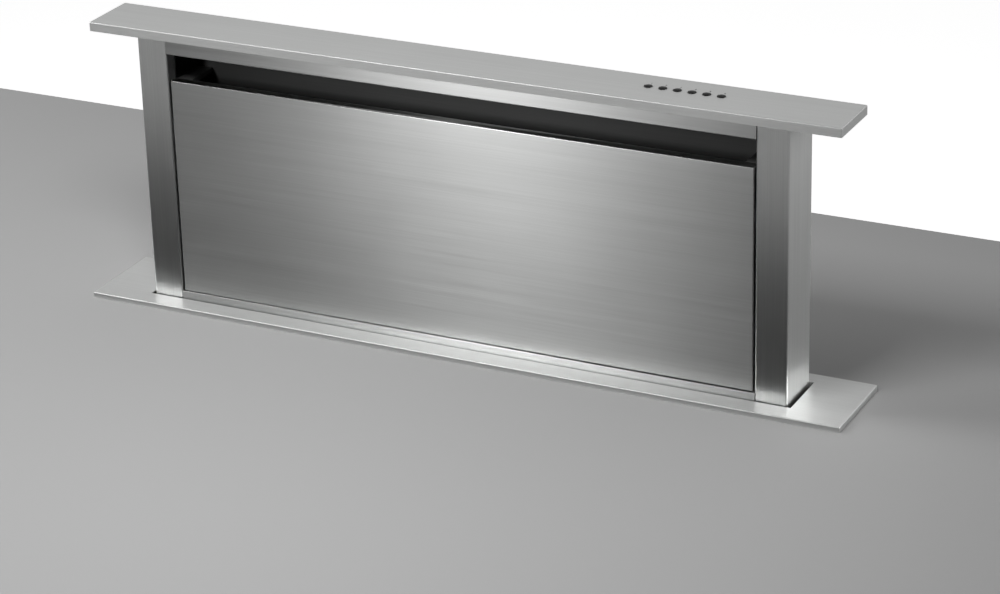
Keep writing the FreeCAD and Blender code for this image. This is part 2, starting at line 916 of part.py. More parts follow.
def gear(name, x, width, module, teeth, phase, hub, hub_start, hub_length, bore):
    """A spur gear with its hub along X, toothed from x to x + width."""
    item = document.addObject("Part::Feature", name)
    wheel = gear_face(module, teeth, phase).extrude(Vector(width, 0, 0))
    wheel.translate(Vector(x, 0, 0))
    along = Vector(1, 0, 0)
    shape = wheel.fuse(Part.makeCylinder(hub, hub_length, Vector(hub_start, 0, 0), along))
    start, end = min(x, hub_start), max(x + width, hub_start + hub_length)
    hole = Part.makeCylinder(bore, end - start, Vector(start, 0, 0), along)
    item.Shape = shape.cut(hole).removeSplitter()
    return item


def pinions():
    """Two pinions on the cross shaft, each with a tooth in its rack's first gap."""
    gears = []
    bush_end = number(tower_x + d.bush_flange_height + d.seat_gap)
    width = number(d.pinion_width)
    face = number(casing_inside - d.rack_width / 2 - d.pinion_width / 2)
    for name, side in (("pinion_left_gear", LEFT), ("pinion_right_gear", RIGHT)):
        start = face if side == RIGHT else -face - width
        hub_start = bush_end if side == RIGHT else -face - HALF * width
        length = face + HALF * width - bush_end
        item = gear(name, start, width, number(d.rack_module), number(d.pinion_teeth), 0,
                    number(d.pinion_hub), hub_start, length, number(d.shaft_radius))
        gears.append(placed(item, 0, shaft_y, shaft_z))
    keep(grouped("pinions", *gears), "pinions")


def driven_gear():
    width = number(d.gear_width)
    start = number(gear_x)
    item = gear("driven_gear", start, width, number(d.gear_module), number(d.driven_teeth), UPWARD,
                number(d.gear_hub), start, width + number(d.gear_hub_length),
                number(d.shaft_radius))
    keep(placed(item, 0, shaft_y, shaft_z), "driven_gear")


def motor_gear():
    width = number(d.gear_width)
    start = number(gear_x)
    half_tooth = 180 / number(d.motor_teeth)
    item = gear("motor_gear", start, width, number(d.gear_module), number(d.motor_teeth),
                half_tooth - UPWARD, number(d.motor_boss), start, width,
                number(d.motor_shaft + d.shaft_fit))
    keep(placed(item, 0, shaft_y, motor_z), "motor_gear")


def cross_shaft():
    end = casing_inside - d.shaft_end_gap
    piece = body("cross_shaft")
    slab(piece, "shaft_bar", YZ, -end, end, (0, 0, d.shaft_radius))
    rounded(piece, "shaft_ends", d.shaft_chamfer,
            lambda edge: abs(edge.CenterOfMass.x) > number(end) - 1e-3, chamfer=True)
    keep(placed(piece, 0, shaft_y, shaft_z), "cross_shaft")


def shaft_bushes():
    """One flanged bush through both walls of each post."""
    bushes = []
    inner = post_x - d.post_wall
    for index, side in enumerate((LEFT, RIGHT), 1):
        piece = body(f"bush_{index}")
        bore = d.shaft_radius + d.shaft_fit
        low, high = (inner, tower_x) if side == RIGHT else (-tower_x, -inner)
        slab(piece, f"bush_sleeve_{index}", YZ, low, high, (0, 0, d.bush_radius), (0, 0, bore))
        low, high = tower_x, tower_x + d.bush_flange_height
        if side == LEFT:
            low, high = -high, -low
        slab(piece, f"bush_flange_{index}", YZ, low, high, (0, 0, d.bush_flange), (0, 0, bore))
        bushes.append(placed(piece, 0, shaft_y, shaft_z))
    keep(grouped("shaft_bushes", *bushes), "shaft_bushes")


def lift_motor():
    """A tubular gear motor along X, with its boss and shaft on the right."""
    face = gear_x - d.bracket_gap - d.bracket_wall
    split = face - d.gearbox_length
    piece = body("lift_motor")
    slab(piece, "motor_can", YZ, face - d.motor_length, split, (0, 0, d.motor_radius))
    rounded(piece, "can_edge", d.motor_edge, at(x=face - d.motor_length, y=0, z=0), chamfer=True)
    slab(piece, "gearbox", YZ, split, face, (0, 0, d.gearbox_radius))
    slab(piece, "front_boss", YZ, face, face + d.bracket_wall, (0, 0, d.motor_boss))
    slab(piece, "output_shaft", YZ, face + d.bracket_wall, gear_x + d.gear_width,
         (0, 0, d.motor_shaft))
    keep(placed(piece, 0, shaft_y, motor_z), "lift_motor")


def motor_bracket():
    """A folded bracket: a plate that carries the motor, and a foot on the rear panel."""
    plate = gear_x - d.bracket_gap
    piece = body("motor_bracket")
    top = motor_z + d.motor_radius
    low = shaft_z - d.bracket_drop
    front = shaft_y - d.motor_radius
    slab(piece, "bracket_plate", YZ, plate - d.bracket_wall, plate,
         rectangle(front, rear_inside, low, top))
    slab(piece, "bracket_foot", XZ, rear_inside - d.bracket_wall, rear_inside,
         rectangle(plate, plate + d.bracket_foot, low, top))
    opening(piece, "bracket_holes", YZ, plate - d.bracket_wall, plate,
            (shaft_y, motor_z, d.motor_boss + d.screw_fit),
            (shaft_y, shaft_z, d.shaft_radius + d.shaft_fit * 2))
    keep(piece, "motor_bracket")


# Tower

def post(name, side):
    """A folded tube that stands at one end of the tower, bored for the shaft's bush."""
    piece = body(name)
    wall = d.post_wall
    x0, x1 = post_x * side, tower_x * side
    slab(piece, name + "_tube", XY, tower_foot, cap_foot,
         rectangle(x0, x1, tower_front, tower_back))
    rounded(piece, name + "_bends", d.post_rounding, corners(x0, x1, tower_front, tower_back))
    opening(piece, name + "_bore", XY, tower_foot, cap_foot,
            rectangle((post_x + wall) * side, (tower_x - wall) * side,
                      tower_front + wall, tower_back - wall))
    start, end = (post_x, tower_x) if side == RIGHT else (-tower_x, -post_x)
    opening(piece, name + "_bush_hole", YZ, start, end, (shaft_y, shaft_z, d.bush_radius))
    keep(piece, name)


def header():
    """A folded channel between the posts, flush with them, above the suction slot."""
    piece = body("header")
    wall = d.header_wall
    back = tower_front + d.header_lip
    outline = [
        (tower_front, header_foot), (back, header_foot), (back, header_foot + wall),
        (tower_front + wall, header_foot + wall), (tower_front + wall, cap_foot - wall),
        (back, cap_foot - wall), (back, cap_foot), (tower_front, cap_foot)]
    slab(piece, "header_channel", YZ, -post_x, post_x, outline)
    rounded(piece, "header_bend", d.bend_rounding, at(x=0, y=tower_front, z=header_foot))
    keep(piece, "header")


def front_panel():
    """A removable tray-shaped panel, folded back on all four sides."""
    piece = body("front_panel")
    back = frame_front - d.seat_gap
    slab(piece, "panel_block", XZ, panel_front, back,
         rectangle(-panel_x, panel_x, d.panel_foot, panel_top))
    rounded(piece, "panel_edge", d.panel_rounding,
            lambda edge: edge.BoundBox.YLength < 1e-4
            and abs(edge.CenterOfMass.y - number(panel_front)) < 1e-4)
    wall = d.panel_wall
    opening(piece, "panel_fold", XZ, panel_front + wall, back,
            rectangle(wall - panel_x, panel_x - wall, d.panel_foot + wall, panel_top - wall))
    keep(piece, "front_panel")


def apron():
    """The fixed lower front of the tower, folded back along its top."""
    piece = body("apron")
    wall = d.apron_wall
    back = tower_front + d.apron_lip
    outline = [
        (tower_front, tower_foot), (tower_front + wall, tower_foot),
        (tower_front + wall, apron_top - wall), (back, apron_top - wall), (back, apron_top),
        (tower_front, apron_top)]
    slab(piece, "apron_sheet", YZ, -post_x, post_x, outline)
    rounded(piece, "apron_bend", d.bend_rounding, at(x=0, y=tower_front, z=apron_top))
    keep(piece, "apron")


def rear_panel():
    """The back sheet, folded forward at both ends to line the posts."""
    piece = body("rear_panel")
    outline = [
        (-post_x, tower_back), (post_x, tower_back), (post_x, liner_front),
        (liner_x, liner_front), (liner_x, rear_inside), (-liner_x, rear_inside),
        (-liner_x, liner_front), (-post_x, liner_front)]
    slab(piece, "rear_sheet", XY, tower_foot, cap_foot, outline)
    opening(piece, "bush_holes", YZ, -post_x, post_x, (shaft_y, shaft_z, d.bush_radius))
    keep(piece, "rear_panel")


def bottom_tie():
    """An angle that joins the posts inside the foot of the apron."""
    piece = body("bottom_tie")
    wall = d.tie_wall
    top = tower_foot + d.tie_height
    gear_tip = d.gear_module * (d.driven_teeth / 2 + d.tooth_tip)
    back = shaft_y - gear_tip - d.tie_gap
    outline = [
        (apron_back, tower_foot), (back, tower_foot),
        (back, tower_foot + wall), (apron_back + wall, tower_foot + wall),
        (apron_back + wall, top), (apron_back, top)]
    slab(piece, "tie_angle", YZ, -post_x, post_x, outline)
    keep(piece, "bottom_tie")


# Filters: the frame leans back about its foot, and the filters lean with it

def frame_tilt():
    """The lean, in degrees, at which the frame's top clears the rear panel by its gap."""
    room = rear_inside - d.frame_back_gap - frame_front - d.seat_gap
    diagonal = root(d.frame_height * d.frame_height + d.frame_depth * d.frame_depth)
    return turn("asin", room / diagonal) - turn("atan", d.frame_depth / d.frame_height)


def leaned(piece):
    """Places a piece drawn upright at the origin on the filter frame's slope."""
    tilt = frame_tilt()
    piece.Placement.Rotation = Rotation(Vector(-1, 0, 0), number(tilt))
    piece.setExpression("Placement.Rotation.Angle", tilt.text)
    return placed(piece, 0, frame_front + d.seat_gap, d.filter_foot)


def filter_window():
    """The outer and inner X of a filter's place, and its lower and upper edge."""
    inner = d.frame_bar / 2
    return inner, liner_x - d.frame_bar, d.frame_bar, d.frame_height - d.frame_bar


def filter_frame():
    piece = body("filter_frame")
    rim = d.frame_rim
    inner, outer, low, high = filter_window()
    slab(piece, "frame_plate", XZ, 0, d.frame_depth,
         rectangle(-liner_x, liner_x, 0, d.frame_height))
    opening(piece, "filter_seats", XZ, 0, d.frame_depth - rim,
            rectangle(inner, outer, low, high), rectangle(-outer, -inner, low, high))
    opening(piece, "air_windows", XZ, d.frame_depth - rim, d.frame_depth,
            rectangle(inner + rim, outer - rim, low + rim, high - rim),
            rectangle(-outer + rim, -inner - rim, low + rim, high - rim))
    keep(leaned(piece), "filter_frame")


def grease_filter(name, side):
    """A baffle filter: a frame with a row of upright slots."""
    piece = body(name)
    inner, outer, low, high = filter_window()
    fit = d.filter_fit
    x0, x1 = (inner + fit, outer - fit) if side == RIGHT else (-outer + fit, -inner - fit)
    back = d.frame_depth - d.frame_rim
    slab(piece, name + "_plate", XZ, 0, back, rectangle(x0, x1, low + fit, high - fit))
    border = d.filter_border
    opening(piece, name + "_recess", XZ, 0, d.filter_skin,
            rectangle(x0 + border, x1 - border, low + border, high - border))
    pitch = (x1 - x0 - border * 2) / d.filter_slots
    start = x0 + border + (pitch - d.filter_slot_width) / 2
    margin = d.filter_slot_margin
    slot = opening(piece, name + "_slot", XZ, d.filter_skin, back,
                   rectangle(start, start + d.filter_slot_width, low + margin, high - margin))
    repeated(piece, name + "_slots", slot, "X_Axis", pitch, d.filter_slots)
    keep(leaned(piece), name)


def panel_ledges():
    """Two folded ledges at the ends of the suction slot, which the panel's top meets."""
    ledges = []
    foot = d.ledge_level
    for index, side in enumerate((LEFT, RIGHT), 1):
        piece = body(f"ledge_{index}")
        inner = liner_x - d.ledge_reach
        top = foot + d.ledge_height
        wall = d.ledge_wall
        outline = [
            (liner_x * side, foot), (liner_x * side, top), (inner * side, top),
            (inner * side, foot), ((inner + wall) * side, foot),
            ((inner + wall) * side, top - wall), ((liner_x - wall) * side, top - wall),
            ((liner_x - wall) * side, foot)]
        slab(piece, f"ledge_fold_{index}", XZ, frame_front, rear_inside, outline)
        ledges.append(piece)
    keep(grouped("panel_ledges", *ledges), "panel_ledges")


def panel_clips():
    """Four spring clips on the posts, each round one of the panel's side folds."""
    clips = []
    back = frame_front
    fold_in = panel_x - d.panel_wall - d.filter_fit
    arm = clip_wall
    for side in (LEFT, RIGHT):
        for level in (d.panel_foot + d.clip_inset, panel_top - d.clip_inset):
            index = len(clips) + 1
            piece = body(f"clip_{index}")
            front = back - d.clip_arm
            outline = [
                (post_x * side, front), (post_x * side, liner_front),
                ((fold_in - arm) * side, liner_front),
                ((fold_in - arm) * side, front), (fold_in * side, front), (fold_in * side, back),
                ((post_x - arm) * side, back), ((post_x - arm) * side, front)]
            slab(piece, f"clip_fold_{index}", XY, level, level + d.clip_height, outline)
            clips.append(piece)
    keep(grouped("panel_clips", *clips), "panel_clips")


# Cap, buttons and controls

def button_places():
    start = button_row_middle - button_row / 2
    return [start + d.button_pitch * index for index in range(int(number(d.button_count)))]


def top_cap():
    """A folded tray that closes the tower's top and covers its slot when lowered."""
    piece = body("top_cap")
    x, y = cap_x, cap_y
    slab(piece, "cap_block", XY, cap_foot, cap_top, rectangle(-x, x, -y, y))
    rounded(piece, "cap_corners", d.cap_corner, corners(-x, x, -y, y))
    rounded(piece, "cap_top_edge", d.cap_rounding, rim_test(cap_top, x, y))
    wall = d.cap_wall
    opening(piece, "cap_fold", XY, cap_foot, cap_ceiling,
            rectangle(wall - x, x - wall, wall - y, y - wall))
    hole = d.button_radius + d.button_fit
    opening(piece, "button_holes", XY, cap_ceiling, cap_top,
            *[(place, d.button_row_depth, hole) for place in button_places()])
    keep(piece, "top_cap")


def cap_underplate():
    piece = body("cap_underplate")
    edge = d.cap_wall + d.seat_gap
    x, y = cap_x - edge, cap_y - edge
    slab(piece, "underplate_sheet", XY, cap_foot, underplate_top, rectangle(-x, x, -y, y))
    rounded(piece, "underplate_corners", d.cap_corner - d.seat_gap, corners(-x, x, -y, y))
    keep(piece, "cap_underplate")


def housing_box():
    reach = button_row / 2 + d.collar_radius + d.housing_margin
    middle, depth = button_row_middle, d.housing_depth / 2
    return middle - reach, middle + reach, d.button_row_depth - depth, d.button_row_depth + depth


def control_housing():
    piece = body("control_housing")
    x0, x1, y0, y1 = housing_box()
    wall = d.housing_wall
    top = cap_ceiling - d.seat_gap
    slab(piece, "housing_tray", XY, underplate_top, top, rectangle(x0, x1, y0, y1))
    opening(piece, "housing_hollow", XY, underplate_top + wall, top,
            rectangle(x0 + wall, x1 - wall, y0 + wall, y1 - wall))
    keep(piece, "control_housing")


def pressed_foot():
    """The level that a button's foot reaches when it is pressed."""
    return cap_ceiling - d.collar_play - d.collar_height - d.button_travel


def control_board():
    """The printed board with a key switch below each button."""
    piece = body("control_board")
    x0, x1, y0, y1 = housing_box()
    edge = d.housing_wall + d.filter_fit
    foot = underplate_top + d.housing_wall
    slab(piece, "board_sheet", XY, foot, foot + d.board_wall,
         rectangle(x0 + edge, x1 - edge, y0 + edge, y1 - edge))
    half = d.switch_side / 2
    slab(piece, "key_switches", XY, foot + d.board_wall / 2, pressed_foot() - d.switch_play,
         *[rectangle(place - half, place + half, d.button_row_depth - half,
                     d.button_row_depth + half) for place in button_places()])
    keep(piece, "control_board")


def push_button(name, x):
    """A domed key with a collar that holds it below the cap's sheet."""
    piece = body(name)
    collar_foot = cap_ceiling - d.collar_play - d.collar_height
    shoulder = cap_top + d.button_rise - d.button_dome
    crown = (d.button_radius * d.button_radius / d.button_dome + d.button_dome) / 2
    turned(piece, name + "_profile", XZ, "Z_Axis", [
        (0, collar_foot), (d.collar_radius, collar_foot),
        (d.collar_radius, collar_foot + d.collar_height),
        (d.button_radius, collar_foot + d.collar_height),
        (d.button_radius, shoulder, crown), (0, shoulder + d.button_dome)])
    keep(placed(piece, x, d.button_row_depth, 0), name)


# Blower

def blower_box():
    """A sheet-metal box, with a rim on the casing and a rim for its cover."""
    piece = body("blower_box")
    wall, rim = d.box_wall, d.box_rim
    inner = box_x - wall
    slab(piece, "box_walls", XZ, box_front, casing_front,
         rectangle(-box_x, box_x, box_foot, box_top),
         rectangle(-inner, inner, box_foot + wall, box_top - wall))
    slab(piece, "casing_rim", XZ, casing_front - wall, casing_front,
         rectangle(-box_x - rim, box_x + rim, box_foot - rim, box_top + rim),
         rectangle(-inner, inner, box_foot + wall, box_top - wall))
    hole = box_x - rim
    slab(piece, "cover_rim", XZ, box_front, box_front + wall,
         rectangle(-box_x, box_x, box_foot, box_top),
         rectangle(-hole, hole, box_foot + rim, box_top - rim))
    opening(piece, "box_foot_holes", XY, box_foot, box_foot + wall,
            *[(x, y, d.foot_stem + d.screw_fit) for x, y in box_foot_spots()])
    keep(piece, "blower_box")


def blower_cover():
    piece = body("blower_cover")
    slab(piece, "cover_sheet", XZ, cover_front, box_front,
         rectangle(-box_x, box_x, box_foot, box_top))
    opening(piece, "outlet_hole", XZ, cover_front, box_front,
            (0, collar_z, d.duct_radius - d.duct_wall))
    keep(piece, "blower_cover")


def scroll_levels():
    """The mouth's Y, and the outlet's floor and ceiling, from the wheel's centre."""
    floor = -(d.volute_radius + d.volute_step * 5 / 2)
    return box_front - volute_y, floor, floor + d.volute_throat


def scroll_outline(mouth):
    """A scroll that widens by one step each quarter turn, and opens to the front."""
    step, radius = d.volute_step, d.volute_radius
    half = step / 2
    _, floor, ceiling = scroll_levels()
    return [
        (half - radius, half, -radius),
        (half, half + radius, -(radius + step)),
        (half + radius + step, -half, -(radius + step * 2)),
        (-half, floor), (mouth, floor), (mouth, ceiling), (half - radius, ceiling)]


def scroll_band():
    """The scroll's curved strip, with the rim of its mouth."""
    piece = body("scroll_band")
    mouth, floor, ceiling = scroll_levels()
    wall, rim = d.volute_wall, d.volute_rim
    width = d.volute_width / 2
    inner = width - wall
    slab(piece, "band_block", YZ, -inner, inner, scroll_outline(mouth))
    at_mouth = at(y=mouth, x=0)
    hollow(piece, "band_strip", wall,
           lambda face: at_mouth(face) or abs(face.CenterOfMass.x) > number(inner) - 1e-3)
    slab(piece, "mouth_rim", XZ, mouth, mouth + wall,
         rectangle(-width - rim, width + rim, floor - rim, ceiling + rim),
         rectangle(-inner, inner, floor + wall, ceiling - wall))
    return placed(piece, 0, volute_y, volute_z)


def scroll_cheek(name, side):
    """A side plate of the scroll, with its inlet's bell mouth."""
    piece = body(name)
    mouth = scroll_levels()[0] + d.volute_wall
    width = d.volute_width / 2
    plate = span(width - d.volute_wall, width, side)
    bell = d.inlet_radius + d.inlet_lip
    slab(piece, name + "_plate", YZ, *plate, scroll_outline(mouth))
    opening(piece, name + "_inlet", YZ, *plate, (0, 0, bell))
    slab(piece, name + "_mouth", YZ, *span(width - d.inlet_depth, width + d.inlet_lip, side),
         (0, 0, bell), (0, 0, d.inlet_radius))
    slab(piece, name + "_bell", YZ, *span(width, width + d.inlet_lip, side),
         (0, 0, d.inlet_radius + d.inlet_rim), (0, 0, d.inlet_radius))
    return placed(piece, 0, volute_y, volute_z)


def scroll_housing():
    keep(grouped("scroll_housing", scroll_band(), scroll_cheek("left_cheek", LEFT),
                 scroll_cheek("right_cheek", RIGHT)), "scroll_housing")


def wheel_plate():
    """The wheel's middle plate, with the hub that takes the shaft."""
    piece = body("wheel_plate")
    disc = d.wheel_disc / 2
    slab(piece, "middle_plate", YZ, -disc, disc, (0, 0, d.wheel_radius))
    slab(piece, "hub", YZ, disc - d.wheel_hub_length, disc, (0, 0, d.wheel_hub))
    opening(piece, "bore", YZ, disc - d.wheel_hub_length, disc, (0, 0, d.fan_shaft))
    return placed(piece, 0, volute_y, volute_z)


def wheel_ring(name, side):
    """The ring at one inlet, which the blades' ends are set against."""
    piece = body(name)
    half = d.wheel_width / 2
    slab(piece, name + "_sheet", YZ, *span(half - d.wheel_ring, half, side),
         (0, 0, d.wheel_radius), (0, 0, d.wheel_inner))
    return placed(piece, 0, volute_y, volute_z)


def wheel_blades(name, side):
    """Forward-curved blades between the wheel's plate and one ring."""
    piece = body(name)
    wall, sweep, curve = d.blade_wall, d.blade_sweep, d.blade_curve
    root_y = d.wheel_inner + wall / 2
    tip_y = root(d.wheel_radius * d.wheel_radius - sweep * sweep) - wall
    blade = slab(piece, name + "_blade", YZ,
                 *span(d.wheel_disc / 2, d.wheel_width / 2 - d.wheel_ring, side), [
                     (root_y, 0, curve), (tip_y, sweep), (tip_y, sweep + wall, -(curve - wall)),
                     (root_y, wall)])
    repeated(piece, name + "_row", blade, "X_Axis", 0, d.blade_count, circular=True)
    return placed(piece, 0, volute_y, volute_z)


def impeller():
    keep(grouped("impeller", wheel_plate(), wheel_ring("left_ring", LEFT),
                 wheel_ring("right_ring", RIGHT)), "impeller")
    keep(grouped("impeller_blades", wheel_blades("left_blades", LEFT),
                 wheel_blades("right_blades", RIGHT)), "impeller_blades")


def fan_shaft():
    piece = body("fan_shaft")
    half = d.wheel_disc / 2
    start = half - d.wheel_hub_length
    end = d.volute_width / 2 - d.fan_motor_cap
    slab(piece, "fan_shaft_bar", YZ, start, end, (0, 0, d.fan_shaft))
    keep(placed(piece, 0, volute_y, volute_z), "fan_shaft")


def blower_motor():
    """The motor inside the wheel's right half, carried by the spider at the inlet."""
    piece = body("blower_motor")
    start = d.wheel_disc / 2 + d.fan_motor_gap
    end = d.volute_width / 2 + d.inlet_lip
    waist = d.fan_motor_radius - d.fan_motor_taper
    bore = d.fan_shaft + d.shaft_fit
    shoulder = d.fan_motor_cap
    turned(piece, "motor_profile", XY, "X_Axis", [
        (start, bore), (start, waist), (start + shoulder / 2, d.fan_motor_radius),
        (end - shoulder, d.fan_motor_radius), (end - shoulder / 2, waist), (end, waist),
        (end, 0), (end - shoulder + d.seat_gap, 0), (end - shoulder + d.seat_gap, bore)])
    keep(placed(piece, 0, volute_y, volute_z), "blower_motor")


def motor_spider():
    """Three arms from the motor to the right inlet's rim."""
    piece = body("motor_spider")
    start = d.volute_width / 2 + d.inlet_lip
    end = start + d.spider_wall
    reach = d.inlet_radius + d.spider_rim
    slab(piece, "spider_ring", YZ, start, end, (0, 0, reach), (0, 0, d.inlet_radius))
    slab(piece, "spider_disc", YZ, start, end, (0, 0, d.spider_disc))
    half = d.spider_arm / 2
    arm = slab(piece, "spider_arm", YZ, start, end,
               rectangle(d.spider_disc * HALF, d.inlet_radius + d.spider_rim / 2, -half, half))
    repeated(piece, "spider_arms", arm, "X_Axis", 0, 3, circular=True)
    keep(placed(piece, 0, volute_y, volute_z), "motor_spider")


# Outlet: a duct collar with two backdraught flaps on an upright pin. Drawn about the
# collar's middle, on the cover's face, and then placed.

flap_y = -d.flap_set_in


def outlet_collar():
    piece = body("outlet_collar")
    inner = d.duct_radius - d.duct_wall
    slab(piece, "collar_tube", XZ, -d.duct_length, 0, (0, 0, d.duct_radius), (0, 0, inner))
    rim = d.duct_radius + d.duct_rim
    slab(piece, "collar_rim", XZ, -d.duct_wall, 0, (0, 0, rim), (0, 0, inner))
    opening(piece, "pin_holes", XY, -d.duct_radius, d.duct_radius, (0, flap_y, d.pin_radius))
    keep(placed(piece, 0, cover_front, collar_z), "outlet_collar")


def flap_pin():
    reach = d.duct_radius - d.duct_wall / 4
    piece = body("flap_pin")
    slab(piece, "pin_bar", XY, -reach, reach, (0, flap_y, d.pin_radius))
    keep(placed(piece, 0, cover_front, collar_z), "flap_pin")


def flap(name, side):
    """Half a disc on the pin. The left flap's knuckle is in the middle of the right's."""
    piece = body(name)
    radius = d.duct_radius - d.duct_wall - d.flap_gap
    edge = d.flap_edge
    height = root(radius * radius - edge * edge)
    half = d.flap_wall / 2
    slab(piece, name + "_disc", XZ, flap_y - half, flap_y + half,
         [(edge * side, -height, radius * side), (radius * side, 0, radius * side),
          (edge * side, height)])
    split, end, gap = d.knuckle_split, d.knuckle_end, d.knuckle_gap
    spans = [(-split + gap, split - gap)] if side == LEFT else [(-end, -split), (split, end)]
    for index, (low, high) in enumerate(spans, 1):
        slab(piece, f"{name}_web_{index}", XZ, flap_y - half, flap_y + half,
             rectangle(0, (edge + half) * side, low, high))
        slab(piece, f"{name}_knuckle_{index}", XY, low, high, (0, flap_y, d.knuckle_radius))
    opening(piece, name + "_bore", XY, -end, end, (0, flap_y, d.pin_radius + d.knuckle_fit))
    keep(placed(piece, 0, cover_front, collar_z), name)


# Electronics

def electronics_span():
    half = d.electronics_length / 2
    return d.electronics_place - half, d.electronics_place + half


def electronics_box():
    piece = body("electronics_box")
    x0, x1 = electronics_span()
    slab(piece, "electronics_block", XZ, electronics_front, casing_front,
         rectangle(x0, x1, electronics_foot, electronics_top))
    hollow(piece, "electronics_shell", d.electronics_wall, at(y=electronics_front))
    floor = casing_front - d.electronics_wall
    inset = d.standoff_inset
    spots = [(x, z, d.standoff_radius) for x in (x0 + inset, x1 - inset)
             for z in (electronics_foot + inset, electronics_top - inset)]
    slab(piece, "standoffs", XZ, floor - d.standoff_height, floor, *spots)
    gland_x, gland_y = gland_spot()
    opening(piece, "gland_hole", XY, electronics_foot, electronics_foot + d.electronics_wall,
            (gland_x, gland_y, d.gland_radius))
    keep(piece, "electronics_box")


def gland_spot():
    return electronics_span()[1] - d.gland_inset, (electronics_front + casing_front) / 2


def electronics_lid():
    """A lid with a lip that sits inside the box's walls."""
    piece = body("electronics_lid")
    x0, x1 = electronics_span()
    wall = d.electronics_wall
    slab(piece, "lid_sheet", XZ, electronics_front - wall, electronics_front,
         rectangle(x0, x1, electronics_foot, electronics_top))
    rounded(piece, "lid_edge", wall / 2,
            lambda edge: edge.BoundBox.YLength < 1e-4
            and abs(edge.CenterOfMass.y - number(electronics_front - wall)) < 1e-4)
    outer, inner = wall + d.seat_gap, wall * 2 + d.seat_gap
    slab(piece, "lid_lip", XZ, electronics_front - wall / 2, electronics_front + wall,
         rectangle(x0 + outer, x1 - outer, electronics_foot + outer, electronics_top - outer),
         rectangle(x0 + inner, x1 - inner, electronics_foot + inner, electronics_top - inner))
    keep(piece, "electronics_lid")


def power_board():
    """The supply board, with its transformer, two relays and the blower's capacitor."""
    piece = body("power_board")
    x0, x1 = electronics_span()
    gap = d.electronics_wall + d.power_board_gap
    back = casing_front - d.electronics_wall - d.standoff_height
    front = back - d.board_wall
    foot, top = electronics_foot + gap, electronics_top - gap
    slab(piece, "supply_board", XZ, front, back, rectangle(x0 + gap, x1 - gap, foot, top))
    into = front + d.board_wall / 2
    left, high = x0 + gap + d.component_margin, top - d.component_margin
    transformer_end = left + d.transformer_length
    slab(piece, "transformer", XZ, front - d.transformer_rise, into,
         rectangle(left, transformer_end, high - d.transformer_height, high))
    first = transformer_end + d.relay_gap
    second = first + d.relay_length + d.relay_gap
    slab(piece, "relays", XZ, front - d.relay_rise, into,
         rectangle(first, first + d.relay_length, high - d.relay_height, high),
         rectangle(second, second + d.relay_length, high - d.relay_height, high))
    slab(piece, "capacitor", XZ, front - d.capacitor_rise, into,
         (left + d.capacitor_radius, foot + d.component_margin + d.capacitor_radius,
          d.capacitor_radius))
    keep(piece, "power_board")


def cable_gland():
    """A gland in the box's floor, with its nut inside and its clamping cap below."""
    x, y = gland_spot()
    piece = body("cable_gland")
    inside = electronics_foot + d.electronics_wall
    bore = (x, y, d.gland_bore)
    slab(piece, "gland_stem", XY, electronics_foot - d.gland_radius, inside + d.gland_thread,
         (x, y, d.gland_radius), bore)
    slab(piece, "gland_nut", XY, inside, inside + d.nut_height, hexagon(x, y, d.gland_nut), bore)
    slab(piece, "gland_flange", XY, electronics_foot - d.nut_height, electronics_foot,
         hexagon(x, y, d.gland_nut), bore)
    cap_end = electronics_foot - d.gland_cap_drop
    slab(piece, "gland_cap", XY, cap_end, electronics_foot - d.nut_height,
         (x, y, d.gland_cap), bore)
    rounded(piece, "gland_cap_edge", d.gland_bore / 2,
            lambda edge: abs(edge.CenterOfMass.z - number(cap_end)) < 1e-4
            and edge.Curve.Radius > number(d.gland_radius), chamfer=True)
    keep(piece, "cable_gland")


def build():
    worktop_flange()
    flange_seal()
    flange_fixings()
    casing_back_piece()
    casing_front_piece()
    casing_floor()
    casing_screws()
    levelling_feet()
    for side, hand in ((LEFT, "left"), (RIGHT, "right")):
        guide_rail(f"guide_rail_{hand}", side)
        rack(f"rack_{hand}", side)
        cabinet_bracket(f"cabinet_bracket_{hand}", side)
        post(f"post_{hand}", side)
        grease_filter(f"grease_filter_{hand}", side)
        flap(f"flap_{hand}", side)
    header()
    front_panel()
    apron()
    rear_panel()
    bottom_tie()
    filter_frame()
    panel_ledges()
    panel_clips()
    glide_shoes()
    lift_motor()
    motor_bracket()
    motor_gear()
    cross_shaft()
    shaft_bushes()
    pinions()
    driven_gear()
    top_cap()
    cap_underplate()
    control_housing()
    control_board()
    for index, place in enumerate(button_places(), 1):
        push_button(f"button_{index}", place)
    blower_box()
    blower_cover()
    scroll_housing()
    impeller()
    fan_shaft()
    blower_motor()
    motor_spider()
    outlet_collar()
    flap_pin()
    electronics_box()
    electronics_lid()
    power_board()
    cable_gland()


def check():
    """Stops before anything is written if a feature failed or a solid is not sound."""
    document.recompute()
    failed = [item.Name for item in document.Objects
              if "Invalid" in item.State or "Error" in item.State]
    failed += [item.Label for item in nodes
               if item.Shape.isNull() or not item.Shape.isValid() or not item.Shape.Solids]
    if failed:
        raise RuntimeError(f"these failed: {failed}")


def write():
    os.makedirs("parts", exist_ok=True)
    for item in nodes:
        item.Shape.exportStep(f"parts/{item.Label}.step")


build()
check()
write()
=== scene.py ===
import bmesh
import bpy
import math
from mathutils import Matrix, Vector


